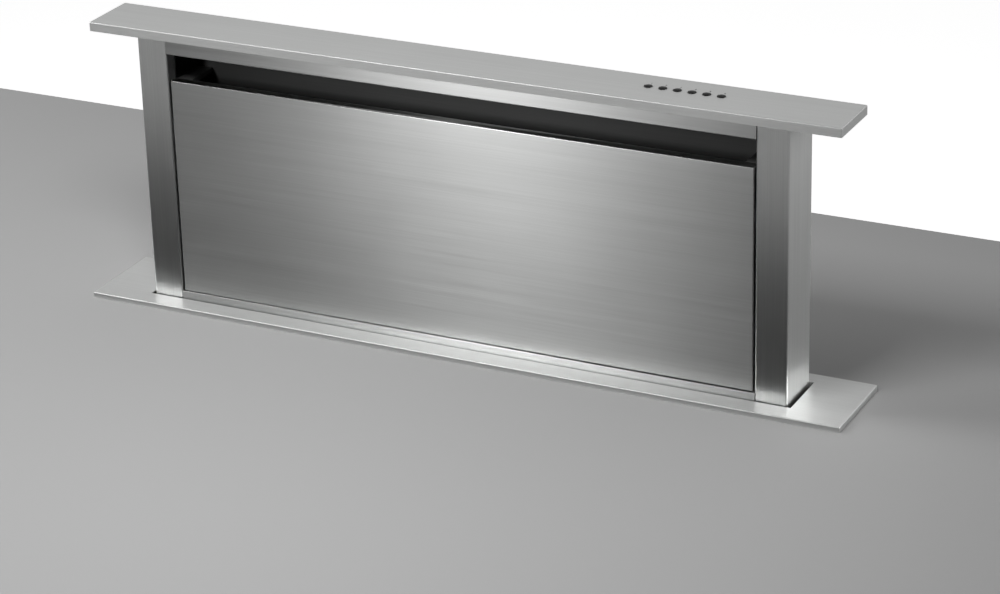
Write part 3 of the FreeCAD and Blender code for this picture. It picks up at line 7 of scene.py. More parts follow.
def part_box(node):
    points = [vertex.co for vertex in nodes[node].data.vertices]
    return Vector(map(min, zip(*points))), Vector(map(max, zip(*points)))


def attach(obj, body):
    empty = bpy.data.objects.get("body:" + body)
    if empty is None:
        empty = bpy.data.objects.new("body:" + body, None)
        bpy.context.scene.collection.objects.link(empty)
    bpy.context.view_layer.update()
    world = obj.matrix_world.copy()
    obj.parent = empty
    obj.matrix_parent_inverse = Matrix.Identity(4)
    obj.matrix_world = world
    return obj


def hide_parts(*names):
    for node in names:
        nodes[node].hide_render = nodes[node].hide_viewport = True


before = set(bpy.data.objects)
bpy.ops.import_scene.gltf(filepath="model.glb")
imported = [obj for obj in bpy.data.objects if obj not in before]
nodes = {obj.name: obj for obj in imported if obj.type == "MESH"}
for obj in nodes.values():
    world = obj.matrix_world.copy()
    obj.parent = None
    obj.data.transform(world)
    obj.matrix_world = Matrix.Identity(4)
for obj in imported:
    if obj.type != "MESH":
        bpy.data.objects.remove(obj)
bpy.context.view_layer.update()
print("frame loaded:", len(nodes), "nodes")


# Shader maths

class Signal:
    def __init__(self, tree, socket):
        self.tree = tree
        self.socket = socket

    def calculate(self, operation, first, second):
        node = self.tree.nodes.new("ShaderNodeMath")
        node.operation = operation
        for place, value in zip(node.inputs, (first, second)):
            if isinstance(value, Signal):
                self.tree.links.new(value.socket, place)
            else:
                place.default_value = value
        return Signal(self.tree, node.outputs[0])

    def __add__(self, other):
        return self.calculate("ADD", self, other)

    def __sub__(self, other):
        return self.calculate("SUBTRACT", self, other)

    def __rsub__(self, other):
        return self.calculate("SUBTRACT", other, self)

    def __mul__(self, other):
        return self.calculate("MULTIPLY", self, other)

    def limited(self):
        self.socket.node.use_clamp = True
        return self

    def __gt__(self, other):
        return self.calculate("GREATER_THAN", self, other)

    def __lt__(self, other):
        return self.calculate("LESS_THAN", self, other)

    __radd__ = __add__
    __rmul__ = __mul__

    def wave(self):
        return self.calculate("SINE", self, 0)

    def size(self):
        return self.calculate("ABSOLUTE", self, 0)


class Finish:  # a material with one Principled shader
    def __init__(self, name, colour, roughness, metallic=0.0, **settings):
        self.material = bpy.data.materials.new(name)
        self.material.use_nodes = True
        self.tree = self.material.node_tree
        self.shader = self.tree.nodes["Principled BSDF"]
        self.colour = colour
        self.set("Base Color", (*colour, 1))
        self.set("Roughness", roughness)
        self.set("Metallic", metallic)
        for socket, value in settings.items():
            self.set(socket.replace("_", " "), value)

    def add(self, kind, settings=None, sockets=None):
        node = self.tree.nodes.new(kind)
        for name, value in (settings or {}).items():
            if name == "stops":
                ramp = node.color_ramp.elements
                while len(ramp) < len(value):
                    ramp.new(0.5)
                for stop, (position, colour) in zip(ramp, value):
                    stop.position = position
                    stop.color = (*colour, 1)
            else:
                setattr(node, name, value)
        for name, value in (sockets or {}).items():
            self.feed(node.inputs[name], value)
        return node

    def feed(self, socket, value):
        if isinstance(value, Signal):
            self.tree.links.new(value.socket, socket)
        elif isinstance(value, bpy.types.NodeSocket):
            self.tree.links.new(value, socket)
        else:
            socket.default_value = value

    def set(self, name, value):
        self.feed(self.shader.inputs[name], value)

    def spot(self, stretch=(1, 1, 1), move=(0, 0, 0), turn=(0, 0, 0)):
        place = self.add("ShaderNodeTexCoord").outputs["Object"]
        return self.add("ShaderNodeMapping", None, {
            "Vector": place, "Scale": stretch, "Location": move, "Rotation": turn}).outputs[0]

    def noise(self, stretch, scale, detail=2.0, roughness=0.5):
        node = self.add("ShaderNodeTexNoise", None, {
            "Vector": self.spot(stretch), "Scale": scale, "Detail": detail, "Roughness": roughness})
        return Signal(self.tree, node.outputs["Fac"])

    def tinted(self, amount, dark, light):
        # the amount, from 0 to 1, takes the colour from dark to light times itself
        ends = [tuple(min(1, part * share) for part in self.colour) for share in (dark, light)]
        node = self.add("ShaderNodeMix", {"data_type": "RGBA"}, {0: amount})
        node.inputs[6].default_value = (*ends[0], 1)
        node.inputs[7].default_value = (*ends[1], 1)
        self.set("Base Color", node.outputs[2])

    def bumped(self, height, strength, distance):
        node = self.add("ShaderNodeBump", None, {
            "Height": height, "Strength": strength, "Distance": distance})
        self.set("Normal", node.outputs[0])


# Finishes

brushing = {"fine": 950.0, "long": 7.0, "grain": 0.10, "steel": (0.50, 0.505, 0.50),
            "slot": (0.3792, 0.0332, 0.0048)}  # half the flange's slot, and the level inside it below which shade is painted


def brushedSteel(name, along, roughness, stretched=0.0, turned=0.0, metallic=1.0, tone=1.0,
                 shaded=None, slotted=False):
    # stainless sheet, brushed along one axis: 0 for X, 2 for Z; stretched draws reflections out
    # across the brushing, and turned is the share of a full turn that sets which way that is;
    # shaded is a Y, in front of which the sheet is painted dark as shade, and the levels between
    # which that painted shade lifts; slotted paints shade onto the folds inside the flange's slot
    steel = tuple(part * tone for part in brushing["steel"])
    finish = Finish(name, steel, roughness, metallic, Anisotropic=stretched,
                    Anisotropic_Rotation=turned)
    stretch = [1.0, 1.0, 1.0]
    stretch[along] = brushing["long"] / brushing["fine"]
    fine = finish.noise(stretch, brushing["fine"], 3.0, 0.65)
    broad = finish.noise(stretch, brushing["fine"] / 6, 2.0)
    cloud = finish.noise((1, 1, 1), 7.0, 2.0)
    streak = fine * 0.75 + broad * 0.25
    grain = streak * 0.8 + cloud * 0.2
    if shaded:
        # painted shade: the face in front of the Y is painted dark for the shade inside the slot,
        # darkest at the bottom and lifting towards the top
        axes = finish.add("ShaderNodeSeparateXYZ", None, {0: finish.spot()})
        away, level = (Signal(finish.tree, axes.outputs[axis]) for axis in (1, 2))
        outside = away > shaded[0]
        clear = ((level - shaded[1]) * (1 / (shaded[2] - shaded[1]))).limited()
        litShare = outside + (1 - outside) * clear * clear * 0.45
        finish.tinted(grain * 0.06 + litShare * 0.94, 0.10, 1.12)
    elif slotted:
        # painted shade: the folds inside the flange's slot, below its rim, painted near black
        wide, deep, edge = brushing["slot"]
        axes = finish.add("ShaderNodeSeparateXYZ", None, {0: finish.spot()})
        across, away, level = (Signal(finish.tree, axes.outputs[axis]) for axis in (0, 1, 2))
        paintedSlotShade = (across.size() < wide) * (away.size() < deep) * (level < edge)
        finish.tinted((grain * 0.3 + 0.7) * (1 - paintedSlotShade), 0.08, 1.16)
    else:
        finish.tinted(grain, 0.80, 1.18)
    finish.set("Roughness", streak * 0.10 + cloud * 0.04 + (roughness - 0.07))
    finish.bumped(streak, brushing["grain"], 0.00008)
    return finish.material


def galvanised(name):
    # zinc sheet: pale, with a soft spangle
    finish = Finish(name, (0.66, 0.675, 0.68), 0.46, 0.72)
    cells = finish.add("ShaderNodeTexVoronoi", {"feature": "F1"}, {
        "Vector": finish.spot(), "Scale": 150.0, "Randomness": 1.0})
    tone = finish.add("ShaderNodeSeparateColor", None, {"Color": cells.outputs["Color"]})
    spangle = Signal(finish.tree, tone.outputs[0])
    cloud = finish.noise((1, 1, 1), 14.0, 3.0)
    finish.tinted(spangle * 0.6 + cloud * 0.4, 0.90, 1.06)
    finish.set("Roughness", spangle * 0.10 + 0.40)
    finish.bumped(spangle + cloud * 0.5, 0.03, 0.0003)
    return finish.material


def platedSteel(name, colour=(0.60, 0.59, 0.56), roughness=0.28):
    finish = Finish(name, colour, roughness, 1.0)
    cloud = finish.noise((1, 1, 1), 40.0, 3.0)
    grit = finish.noise((1, 1, 1), 900.0, 2.0)
    finish.tinted(cloud, 0.84, 1.1)
    finish.set("Roughness", cloud * 0.14 + (roughness - 0.07))
    finish.bumped(grit, 0.05, 0.0002)
    return finish.material


def machinedSteel(name):
    finish = Finish(name, (0.36, 0.36, 0.37), 0.34, 1.0)
    lines = finish.noise((1, 1, 0.05), 1400.0, 2.0)
    oil = finish.noise((1, 1, 1), 30.0, 3.0)
    finish.tinted(lines * 0.5 + oil * 0.5, 0.7, 1.2)
    finish.set("Roughness", oil * 0.22 + 0.24)
    finish.bumped(lines, 0.12, 0.0002)
    return finish.material


def sinteredBronze(name):
    finish = Finish(name, (0.62, 0.42, 0.20), 0.40, 1.0)
    pores = finish.noise((1, 1, 1), 1600.0, 2.0)
    finish.tinted(pores, 0.62, 1.12)
    finish.bumped(pores, 0.25, 0.0002)
    return finish.material


def millAluminium(name, colour=(0.74, 0.75, 0.76), along=0):
    finish = Finish(name, colour, 0.36, 1.0)
    stretch = [1.0, 1.0, 1.0]
    stretch[along] = 0.02
    lines = finish.noise(stretch, 700.0, 2.0)
    cloud = finish.noise((1, 1, 1), 16.0, 2.0)
    finish.tinted(lines * 0.5 + cloud * 0.5, 0.86, 1.08)
    finish.set("Roughness", lines * 0.12 + 0.30)
    finish.bumped(lines, 0.08, 0.0002)
    return finish.material


def satinPaint(name, colour):
    finish = Finish(name, colour, 0.40, 0.0, Coat_Weight=0.25, Coat_Roughness=0.25)
    peel = finish.noise((1, 1, 1), 420.0, 2.0)
    dust = finish.noise((1, 1, 1), 22.0, 4.0)
    finish.tinted(dust, 0.8, 1.35)
    finish.set("Roughness", dust * 0.14 + 0.34)
    finish.bumped(peel, 0.12, 0.0004)
    return finish.material


def mouldedPlastic(name, colour, roughness=0.52, grain=0.16):
    finish = Finish(name, colour, roughness, 0.0)
    spark = finish.noise((1, 1, 1), 1300.0, 2.0)
    cloud = finish.noise((1, 1, 1), 18.0, 2.0)
    finish.tinted(cloud, 0.9, 1.12)
    finish.set("Roughness", cloud * 0.08 + (roughness - 0.04))
    finish.bumped(spark, grain, 0.0003)
    return finish.material


def foamRubber(name):
    finish = Finish(name, (0.045, 0.045, 0.047), 0.85, 0.0)
    cells = finish.add("ShaderNodeTexVoronoi", {"feature": "F1"}, {
        "Vector": finish.spot(), "Scale": 1500.0})
    pore = Signal(finish.tree, cells.outputs["Distance"])
    finish.tinted(pore, 0.6, 1.7)
    finish.bumped(pore, 0.5, 0.0006)
    return finish.material


def keyPlastic(name):
    finish = Finish(name, (0.008, 0.008, 0.008), 0.26, 0.0, Specular_IOR_Level=0.22)
    cloud = finish.noise((1, 1, 1), 260.0, 2.0)
    finish.tinted(cloud, 0.7, 1.4)
    finish.set("Roughness", cloud * 0.08 + 0.22)
    return finish.material


def printedBoard(name):
    finish = Finish(name, (0.02, 0.16, 0.07), 0.38, 0.0, Coat_Weight=0.4, Coat_Roughness=0.15)
    cells = finish.add("ShaderNodeTexVoronoi", {"feature": "F1", "distance": "MANHATTAN"}, {
        "Vector": finish.spot(), "Scale": 210.0, "Randomness": 0.6})
    tracks = Signal(finish.tree, cells.outputs["Distance"]) > 0.45
    finish.tinted(tracks, 0.75, 1.9)
    finish.bumped(tracks, 0.2, 0.0001)
    return finish.material


# the tones above 1 make lit copies of the one stainless steel: painted light on the cap, the flange
# and the posts
finishes = {
    "steelFlat": brushedSteel("steelFlat", 0, 0.42, metallic=0.62, tone=1.12),
    "steelFlange": brushedSteel("steelFlange", 0, 0.40, metallic=0.62, tone=1.24, slotted=True),
    "steelBack": brushedSteel("steelBack", 0, 0.46, 0.60, 0.25, shaded=(0.0322, 0.262, 0.310)),
    # painted shade: the ledges inside the slot in the same stainless steel, coloured near black
    "steelPaintedShade": brushedSteel("steelPaintedShade", 1, 0.5, metallic=0.6, tone=0.2),
    "steelFront": brushedSteel("steelFront", 0, 0.40, 0.84, 0.25),
    "steelUpright": brushedSteel("steelUpright", 2, 0.40, 0.65, 0.0, tone=1.52),
    "galvanised": galvanised("galvanised"),
    "plated": platedSteel("plated"),
    "machined": machinedSteel("machined"),
    "spring": platedSteel("spring", (0.30, 0.31, 0.34), 0.25),
    "bronze": sinteredBronze("bronze"),
    "aluminium": millAluminium("aluminium"),
    "baffle": millAluminium("baffle", (0.80, 0.81, 0.82), 2),
    "blackPaint": satinPaint("blackPaint", (0.03, 0.03, 0.032)),
    "foam": foamRubber("foam"),
    "blackPlastic": mouldedPlastic("blackPlastic", (0.035, 0.035, 0.037)),
    "greyPlastic": mouldedPlastic("greyPlastic", (0.33, 0.34, 0.35)),
    "whitePlastic": mouldedPlastic("whitePlastic", (0.80, 0.79, 0.74), 0.45, 0.06),
    "key": keyPlastic("key"),
    "board": printedBoard("board"),
}

nodeFinishes = {
    "steelFlange": ["worktop_flange"],
    "steelFlat": ["top_cap", "cap_underplate"],
    "steelPaintedShade": ["panel_ledges"],
    "steelFront": ["header", "front_panel", "apron"],
    "steelBack": ["rear_panel"],
    "steelUpright": ["post_left", "post_right"],
    "galvanised": ["casing_back", "casing_front", "casing_floor", "blower_box", "blower_cover",
                   "scroll_housing", "impeller", "impeller_blades", "outlet_collar", "flap_left",
                   "flap_right", "bottom_tie"],
    "plated": ["flange_fixings", "casing_screws", "guide_rail_left", "guide_rail_right",
               "cabinet_bracket_left", "cabinet_bracket_right", "fan_shaft", "flap_pin",
               "motor_bracket", "cross_shaft"],
    "machined": ["rack_left", "rack_right", "motor_gear", "pinions", "driven_gear"],
    "spring": ["panel_clips"],
    "bronze": ["shaft_bushes"],
    "aluminium": ["filter_frame"],
    "baffle": ["grease_filter_left", "grease_filter_right"],
    "blackPaint": ["blower_motor", "motor_spider", "lift_motor"],
    "foam": ["flange_seal"],
    "blackPlastic": ["levelling_feet", "cable_gland", "control_housing"],
    "greyPlastic": ["electronics_box", "electronics_lid"],
    "whitePlastic": ["glide_shoes"],
    "key": [f"button_{place}" for place in range(1, 7)],
    "board": ["power_board", "control_board"],
}


def dressNodes():
    for finish, names in nodeFinishes.items():
        for name in names:
            mesh = nodes[name].data
            mesh.materials.clear()
            mesh.materials.append(finishes[finish])
            nodes[name].data.polygons.foreach_set("material_index", [0] * len(mesh.polygons))


dressNodes()
print("finishes on the frame's nodes")


# Printed marks behind the push-buttons

keyMarks = {"size": 0.0042, "behind": 0.0037, "thick": 0.00006, "lift": 0.00001}


def buildKeyMarks():
    ink = mouldedPlastic("ink", (0.05, 0.05, 0.052), 0.6, 0.05)
    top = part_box("top_cap")[1][2]
    for place in range(1, 7):
        low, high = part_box(f"button_{place}")
        bpy.ops.object.select_all(action="DESELECT")
        bpy.ops.object.text_add(location=(0, 0, 0))
        mark = bpy.context.object
        mark.data.body = str(place)
        mark.data.size = keyMarks["size"]
        mark.data.align_x = "CENTER"
        mark.data.align_y = "CENTER"
        mark.data.extrude = keyMarks["thick"] / 2
        mark.data.resolution_u = 3
        bpy.ops.object.convert(target="MESH")
        mark.name = f"keyMark{place}"
        mark.location = ((low[0] + high[0]) / 2, high[1] + keyMarks["behind"],
                         top + keyMarks["lift"] + keyMarks["thick"] / 2)
        bpy.ops.object.transform_apply(location=True, rotation=True, scale=True)
        mark.data.materials.append(ink)
        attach(mark, "tower")


buildKeyMarks()
print("marks behind the push-buttons")


# Small metalwork: modelled once each, then copied to its places

def addRound(radius, depth, middle, sides, material):
    bpy.ops.object.select_all(action="DESELECT")
    bpy.ops.mesh.primitive_cylinder_add(vertices=sides, radius=radius, depth=depth,
                                        location=(0, 0, middle))
    piece = bpy.context.object
    bpy.ops.object.transform_apply(location=True, rotation=True, scale=True)
    piece.data.materials.append(material)
    return piece


def pick(piece, kind, test):
    # edit mode, with the faces or edges selected whose every corner passes the test
    bpy.ops.object.mode_set(mode="EDIT")
    bpy.ops.mesh.select_mode(type=kind)
    bpy.ops.mesh.select_all(action="DESELECT")
    mesh = bmesh.from_edit_mesh(piece.data)
    for part in mesh.faces if kind == "FACE" else mesh.edges:
        if all(test(corner.co) for corner in part.verts):
            part.select_set(True)
    bmesh.update_edit_mesh(piece.data)


def pickSides(piece, low, high, sides):
    # every second side face of a round piece, between two levels
    bpy.ops.object.mode_set(mode="EDIT")
    bpy.ops.mesh.select_mode(type="FACE")
    bpy.ops.mesh.select_all(action="DESELECT")
    mesh = bmesh.from_edit_mesh(piece.data)
    for face in mesh.faces:
        middle = face.calc_center_median()
        step = math.floor(math.atan2(middle.y, middle.x) / math.tau * sides)
        if abs(face.normal.z) < 0.1 and low < middle.z < high and step % 2 == 0:
            face.select_set(True)
    bmesh.update_edit_mesh(piece.data)


def bevelEdges(piece, test, width, segments):
    pick(piece, "EDGE", test)
    bpy.ops.mesh.bevel(offset=width, segments=segments)
    bpy.ops.object.mode_set(mode="OBJECT")


def raiseTop(piece, level, border, lift):
    # the face at a level drawn in by a border, and then lifted, or sunk if lift is negative
    pick(piece, "FACE", lambda corner: abs(corner.z - level) < 1e-6)
    bpy.ops.mesh.inset(thickness=border, depth=0)
    bpy.ops.mesh.extrude_region_move(TRANSFORM_OT_translate={"value": (0, 0, lift)})
    bpy.ops.object.mode_set(mode="OBJECT")


def cutThread(piece, top, pitch, turns, depth, radius):
    # grooves up a stem, drawn out of its top face
    pick(piece, "FACE", lambda corner: abs(corner.z - top) < 1e-6)
    narrow = 1 - depth / radius
    for turn in range(turns):
        for share in (narrow, 1 / narrow):
            bpy.ops.mesh.extrude_region_move(TRANSFORM_OT_translate={"value": (0, 0, pitch / 2)})
            bpy.ops.transform.resize(value=(share, share, 1))
    bpy.ops.object.mode_set(mode="OBJECT")


def joined(name, pieces):
    bpy.ops.object.select_all(action="DESELECT")
    for piece in pieces:
        piece.select_set(True)
    bpy.context.view_layer.objects.active = pieces[0]
    if len(pieces) > 1:
        bpy.ops.object.join()
    pieces[0].name = name
    return pieces[0]


facings = {"front": (math.pi / 2, 0, 0), "back": (-math.pi / 2, 0, 0),
           "right": (0, math.pi / 2, 0), "left": (0, -math.pi / 2, 0), "up": (0, 0, 0)}


def copied(name, model, spots):
    # the model, which faces up at the origin, copied to each spot and turned to its facing
    copies = []
    for facing, place in spots:
        bpy.ops.object.select_all(action="DESELECT")
        model.select_set(True)
        bpy.context.view_layer.objects.active = model
        bpy.ops.object.duplicate(linked=False)
        piece = bpy.context.object
        piece.rotation_euler = facings[facing]
        piece.location = place
        bpy.ops.object.transform_apply(location=True, rotation=True, scale=True)
        copies.append(piece)
    bpy.data.objects.remove(model)
    piece = joined(name, copies)
    bpy.ops.object.shade_smooth_by_angle(angle=math.radians(35))
    return piece


crossScrew = {"sides": 20, "dome": 0.55, "arm": 0.56, "slit": 0.2, "deep": 0.6, "taper": 0.6}


def modelScrew(radius, height, stem=None):
    # a domed head with a cross recess, and its stem below it
    head = addRound(radius, height, height / 2, crossScrew["sides"], finishes["plated"])
    bevelEdges(head, lambda corner: corner.z > height * 0.9, height * crossScrew["dome"], 3)
    for turned in (0, math.pi / 2):
        bpy.ops.object.select_all(action="DESELECT")
        bpy.ops.mesh.primitive_cube_add(size=1, location=(0, 0, height),
                                        rotation=(0, 0, turned))
        cutter = bpy.context.object
        cutter.scale = (radius * crossScrew["arm"] * 2, radius * crossScrew["slit"] * 2,
                        height * crossScrew["deep"] * 2)
        bpy.ops.object.transform_apply(location=True, rotation=True, scale=True)
        pick(cutter, "FACE", lambda corner: corner.z < height)
        bpy.ops.transform.resize(value=(crossScrew["taper"], crossScrew["taper"], 1))
        bpy.ops.object.mode_set(mode="OBJECT")
        cut = head.modifiers.new("recess", "BOOLEAN")
        cut.object = cutter
        cut.operation = "DIFFERENCE"
        bpy.ops.object.select_all(action="DESELECT")
        head.select_set(True)
        bpy.context.view_layer.objects.active = head
        bpy.ops.object.modifier_apply(modifier=cut.name)
        bpy.data.objects.remove(cutter)
    if stem:
        thick, long = stem
        shank = addRound(thick, long, -long / 2, 12, finishes["plated"])
        head = joined("screw", [head, shank])
    return head


casingScrew = {"radius": 0.004, "height": 0.0022, "stem": (0.002, 0.0054),
               "levels": (-0.026, -0.242, -0.458, -0.674), "inset": 0.007}


def buildCasingScrews():
    low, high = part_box("casing_front")
    spots = [("front", (side * (high[0] - casingScrew["inset"]), low[1], level))
             for side in (-1, 1) for level in casingScrew["levels"]]
    model = modelScrew(casingScrew["radius"], casingScrew["height"], casingScrew["stem"])
    screws = copied("casingScrews", model, spots)
    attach(screws, "casing")
    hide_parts("casing_screws")


boxScrew = {"radius": 0.0032, "height": 0.0018, "rimInset": 0.005, "coverInset": 0.006,
            "lidRadius": 0.0027, "lidHeight": 0.0015, "lidInset": 0.007, "sheet": 0.0012,
            "footRow": 0.125}


def buildBoxScrews():
    # round the blower box's rim, round its cover, and on the electronics lid
    low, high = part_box("blower_box")
    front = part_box("casing_front")[0][1] - boxScrew["sheet"]
    rim = [("front", (side * (high[0] - boxScrew["rimInset"]), front,
                      low[2] + (high[2] - low[2]) * share))
           for side in (-1, 1) for share in (0.12, 0.5, 0.88)]
    low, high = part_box("blower_cover")
    inset = boxScrew["coverInset"]
    rows = [(side * (high[0] - inset), low[2] + inset + (high[2] - low[2] - inset * 2) * share)
            for side in (-1, 1) for share in (0, 0.5, 1)]
    apart = boxScrew["footRow"]
    rows += [(0, high[2] - inset), (-apart, low[2] + inset), (apart, low[2] + inset)]
    cover = [("front", (x, low[1], z)) for x, z in rows]
    screws = copied("boxScrews", modelScrew(boxScrew["radius"], boxScrew["height"]), rim + cover)
    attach(screws, "casing")
    low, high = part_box("electronics_lid")
    inset = boxScrew["lidInset"]
    corners = [("front", (x, low[1], z)) for x in (low[0] + inset, high[0] - inset)
               for z in (low[2] + inset, high[2] - inset)]
    screws = copied("lidScrews", modelScrew(boxScrew["lidRadius"], boxScrew["lidHeight"]),
                    corners)
    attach(screws, "casing")


sideScrew = {"radius": 0.0038, "height": 0.002, "fromEdge": 0.016, "legMiddle": 0.017,
             "backRadius": 0.003, "backHeight": 0.0005, "backInset": 0.007,
             "backLevels": (0.025, 0.11, 0.195, 0.28), "sheet": 0.002}


def buildSideScrews():
    # two through each cabinet bracket's leg, and the flat ones down the tower's back sheet
    low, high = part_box("cabinet_bracket_right")
    wall = low[0] + sideScrew["sheet"]
    levels = (low[2] + sideScrew["fromEdge"], high[2] - sideScrew["fromEdge"])
    spots = [(facing, (side * wall, sideScrew["legMiddle"], level))
             for facing, side in (("left", -1), ("right", 1)) for level in levels]
    screws = copied("bracketScrews", modelScrew(sideScrew["radius"], sideScrew["height"]), spots)
    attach(screws, "casing")
    low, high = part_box("rear_panel")
    spots = [("back", (side * (high[0] - sideScrew["backInset"]), high[1], level))
             for side in (-1, 1) for level in sideScrew["backLevels"]]
    model = modelScrew(sideScrew["backRadius"], sideScrew["backHeight"])
    screws = copied("backScrews", model, spots)
    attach(screws, "tower")


foot = {"radius": 0.016, "pad": 0.007, "sides": 48, "grip": 0.0005,
        "stem": 0.004, "pitch": 0.0012, "groove": 0.0004, "nut": 0.0075, "nutHeight": 0.004,
        "casingSpots": (0.364, 0.023), "casingLevel": 0.020, "casingTop": 0.0292,
        "boxSpots": (0.174, -0.248), "boxLevel": 0.030, "boxTop": 0.0392,
        "gripWide": 0.0006, "rim": 0.0050, "dish": 0.0012, "hubRim": 0.0016, "hub": 0.0030,
        "start": 0.001}
nutEdge = 0.0005


def modelFoot(level, top):
    # a pad with a gripped rim, a threaded stem up to the top, and a nut below the level
    pad = addRound(foot["radius"], foot["pad"], foot["pad"] / 2, foot["sides"],
                   finishes["blackPlastic"])
    pickSides(pad, 0, foot["pad"], foot["sides"])
    bpy.ops.mesh.inset(thickness=foot["gripWide"], depth=-foot["grip"], use_individual=True)
    bpy.ops.object.mode_set(mode="OBJECT")
    raiseTop(pad, foot["pad"], foot["rim"], -foot["dish"])
    raiseTop(pad, foot["pad"] - foot["dish"], foot["hubRim"], foot["hub"])
    start = foot["pad"] - foot["start"]
    turns = int((top - start) / foot["pitch"])
    stem = addRound(foot["stem"], foot["start"], start + foot["start"] / 2, 20,
                    finishes["plated"])
    cutThread(stem, start + foot["start"], foot["pitch"], turns - 1, foot["groove"],
              foot["stem"])
    nut = addRound(foot["nut"], foot["nutHeight"], level - foot["nutHeight"] / 2, 6,
                   finishes["plated"])
    bevelEdges(nut, lambda corner: True, nutEdge, 2)
    return joined("foot", [pad, stem, nut])


def buildFeet():
    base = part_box("levelling_feet")[0][2]
    feet = []
    for spots, level, top, sides in (
            ("casingSpots", "casingLevel", "casingTop", (-1, 1)),
            ("boxSpots", "boxLevel", "boxTop", (1,))):
        across, away = foot[spots]
        places = [("up", (x * across, y * away, base)) for x in (-1, 1) for y in sides]
        feet.append(copied("feet", modelFoot(foot[level], foot[top]), places))
    feet = joined("levellingFeet", feet)
    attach(feet, "casing")
    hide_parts("levelling_feet")


gland = {"place": (0.214, -0.067), "hex": 0.012, "hexFrom": -0.306, "hexTo": -0.302,
         "cap": 0.0103, "capFoot": -0.3148, "bore": 0.004, "grips": 40, "deep": 0.009,
         "thread": 0.0078, "innerNut": (-0.300, -0.296), "top": -0.294,
         "gripDeep": 0.0004, "lipWide": 0.0016, "lipTall": 0.0012, "start": 0.001,
         "pitch": 0.001, "groove": 0.0004}


def buildGland():
    # a hex body below the box, a gripped cap with its bore, and the thread with its inner nut
    plastic = finishes["blackPlastic"]
    tall = gland["hexFrom"] - gland["capFoot"]
    cap = addRound(gland["cap"], tall, tall / 2, gland["grips"], plastic)
    pickSides(cap, 0, tall, gland["grips"])
    bpy.ops.mesh.inset(thickness=gland["gripDeep"], depth=-gland["gripDeep"],
                       use_individual=True)
    bpy.ops.object.mode_set(mode="OBJECT")
    raiseTop(cap, tall, gland["lipWide"], gland["lipTall"])
    raiseTop(cap, tall + gland["lipTall"], gland["cap"] - gland["lipWide"] - gland["bore"],
             -gland["deep"])
    bpy.ops.object.select_all(action="DESELECT")
    cap.select_set(True)
    bpy.context.view_layer.objects.active = cap
    cap.rotation_euler = (math.pi, 0, 0)
    cap.location = (0, 0, gland["hexFrom"])
    bpy.ops.object.transform_apply(location=True, rotation=True, scale=True)
    parts = [cap]
    for low, high in ((gland["hexFrom"], gland["hexTo"]), gland["innerNut"]):
        nut = addRound(gland["hex"], high - low, (low + high) / 2, 6, plastic)
        bevelEdges(nut, lambda corner: True, nutEdge, 2)
        parts.append(nut)
    start = gland["hexTo"] - gland["start"]
    turns = int((gland["top"] - start - gland["start"]) / gland["pitch"])
    stem = addRound(gland["thread"], gland["start"], start + gland["start"] / 2, 24, plastic)
    cutThread(stem, start + gland["start"], gland["pitch"], turns, gland["groove"],
              gland["thread"])
    parts.append(stem)
    piece = joined("cableGland", parts)
    piece.location = (*gland["place"], 0)
    bpy.ops.object.select_all(action="DESELECT")
    piece.select_set(True)
    bpy.context.view_layer.objects.active = piece
    bpy.ops.object.transform_apply(location=True, rotation=True, scale=True)
    bpy.ops.object.shade_smooth_by_angle(angle=math.radians(30))
    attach(piece, "casing")
    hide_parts("cable_gland")


bead = {"radius": 0.075, "thick": 0.0016, "fromMouth": 0.007, "steps": 96}


def buildCollarBead():
    # the rolled bead round the duct collar's mouth, which a clamp or tape catches on
    low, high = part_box("outlet_collar")
    middle = (0, low[1] + bead["fromMouth"], (low[2] + high[2]) / 2)
    bpy.ops.object.select_all(action="DESELECT")
    bpy.ops.mesh.primitive_circle_add(vertices=10, radius=bead["thick"],
                                      location=(bead["radius"], middle[1], middle[2]))
    ring = bpy.context.object
    bpy.ops.object.transform_apply(location=True, rotation=True, scale=True)
    ring.data.materials.append(finishes["galvanised"])
    bpy.ops.object.mode_set(mode="EDIT")
    bpy.ops.mesh.select_all(action="SELECT")
    bpy.ops.mesh.spin(steps=bead["steps"], angle=math.tau, center=middle, axis=(0, 1, 0))
    bpy.ops.mesh.select_all(action="SELECT")
    bpy.ops.mesh.remove_doubles(threshold=0.00001)
    bpy.ops.mesh.normals_make_consistent(inside=False)
    bpy.ops.object.mode_set(mode="OBJECT")
    ring.name = "collarBead"
    bpy.ops.object.shade_smooth_by_angle(angle=math.radians(60))
    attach(ring, "casing")


buildCasingScrews()
buildBoxScrews()
buildSideScrews()
buildFeet()
buildGland()
buildCollarBead()
print("screws, feet, gland and collar bead")


# Stage: the worktop that the vent stands in, a pale floor far below it, and soft light

stage = {
    "worktop": (-0.96, 0.74, -0.72, 0.482),
    "cutOut": (-0.403, 0.403, -0.047, 0.047),
    "worktopColour": 0.34,
    "darkPatch": (-0.90, 0.70, -0.50, -0.06),  # a painted dark reflection: the patch that only the steel's reflections see
    "darkTone": 0.03,
    "floorLevel": -0.7205,
    "floorReach": 16,
    "floorColour": 0.86,
    "floorWhite": 0.72,      # the plain white added to the floor that the camera sees
}


def splitByRay(tree, rays, seen, other):
    # one shader for the rays named, another for the rest
    path = tree.nodes.new("ShaderNodeLightPath")
    kinds = [Signal(tree, path.outputs[ray]) for ray in rays]
    mix = tree.nodes.new("ShaderNodeMixShader")
    tree.links.new(sum(kinds[1:], kinds[0]).socket, mix.inputs[0])
    tree.links.new(other, mix.inputs[1])
    tree.links.new(seen, mix.inputs[2])
    return mix.outputs[0]


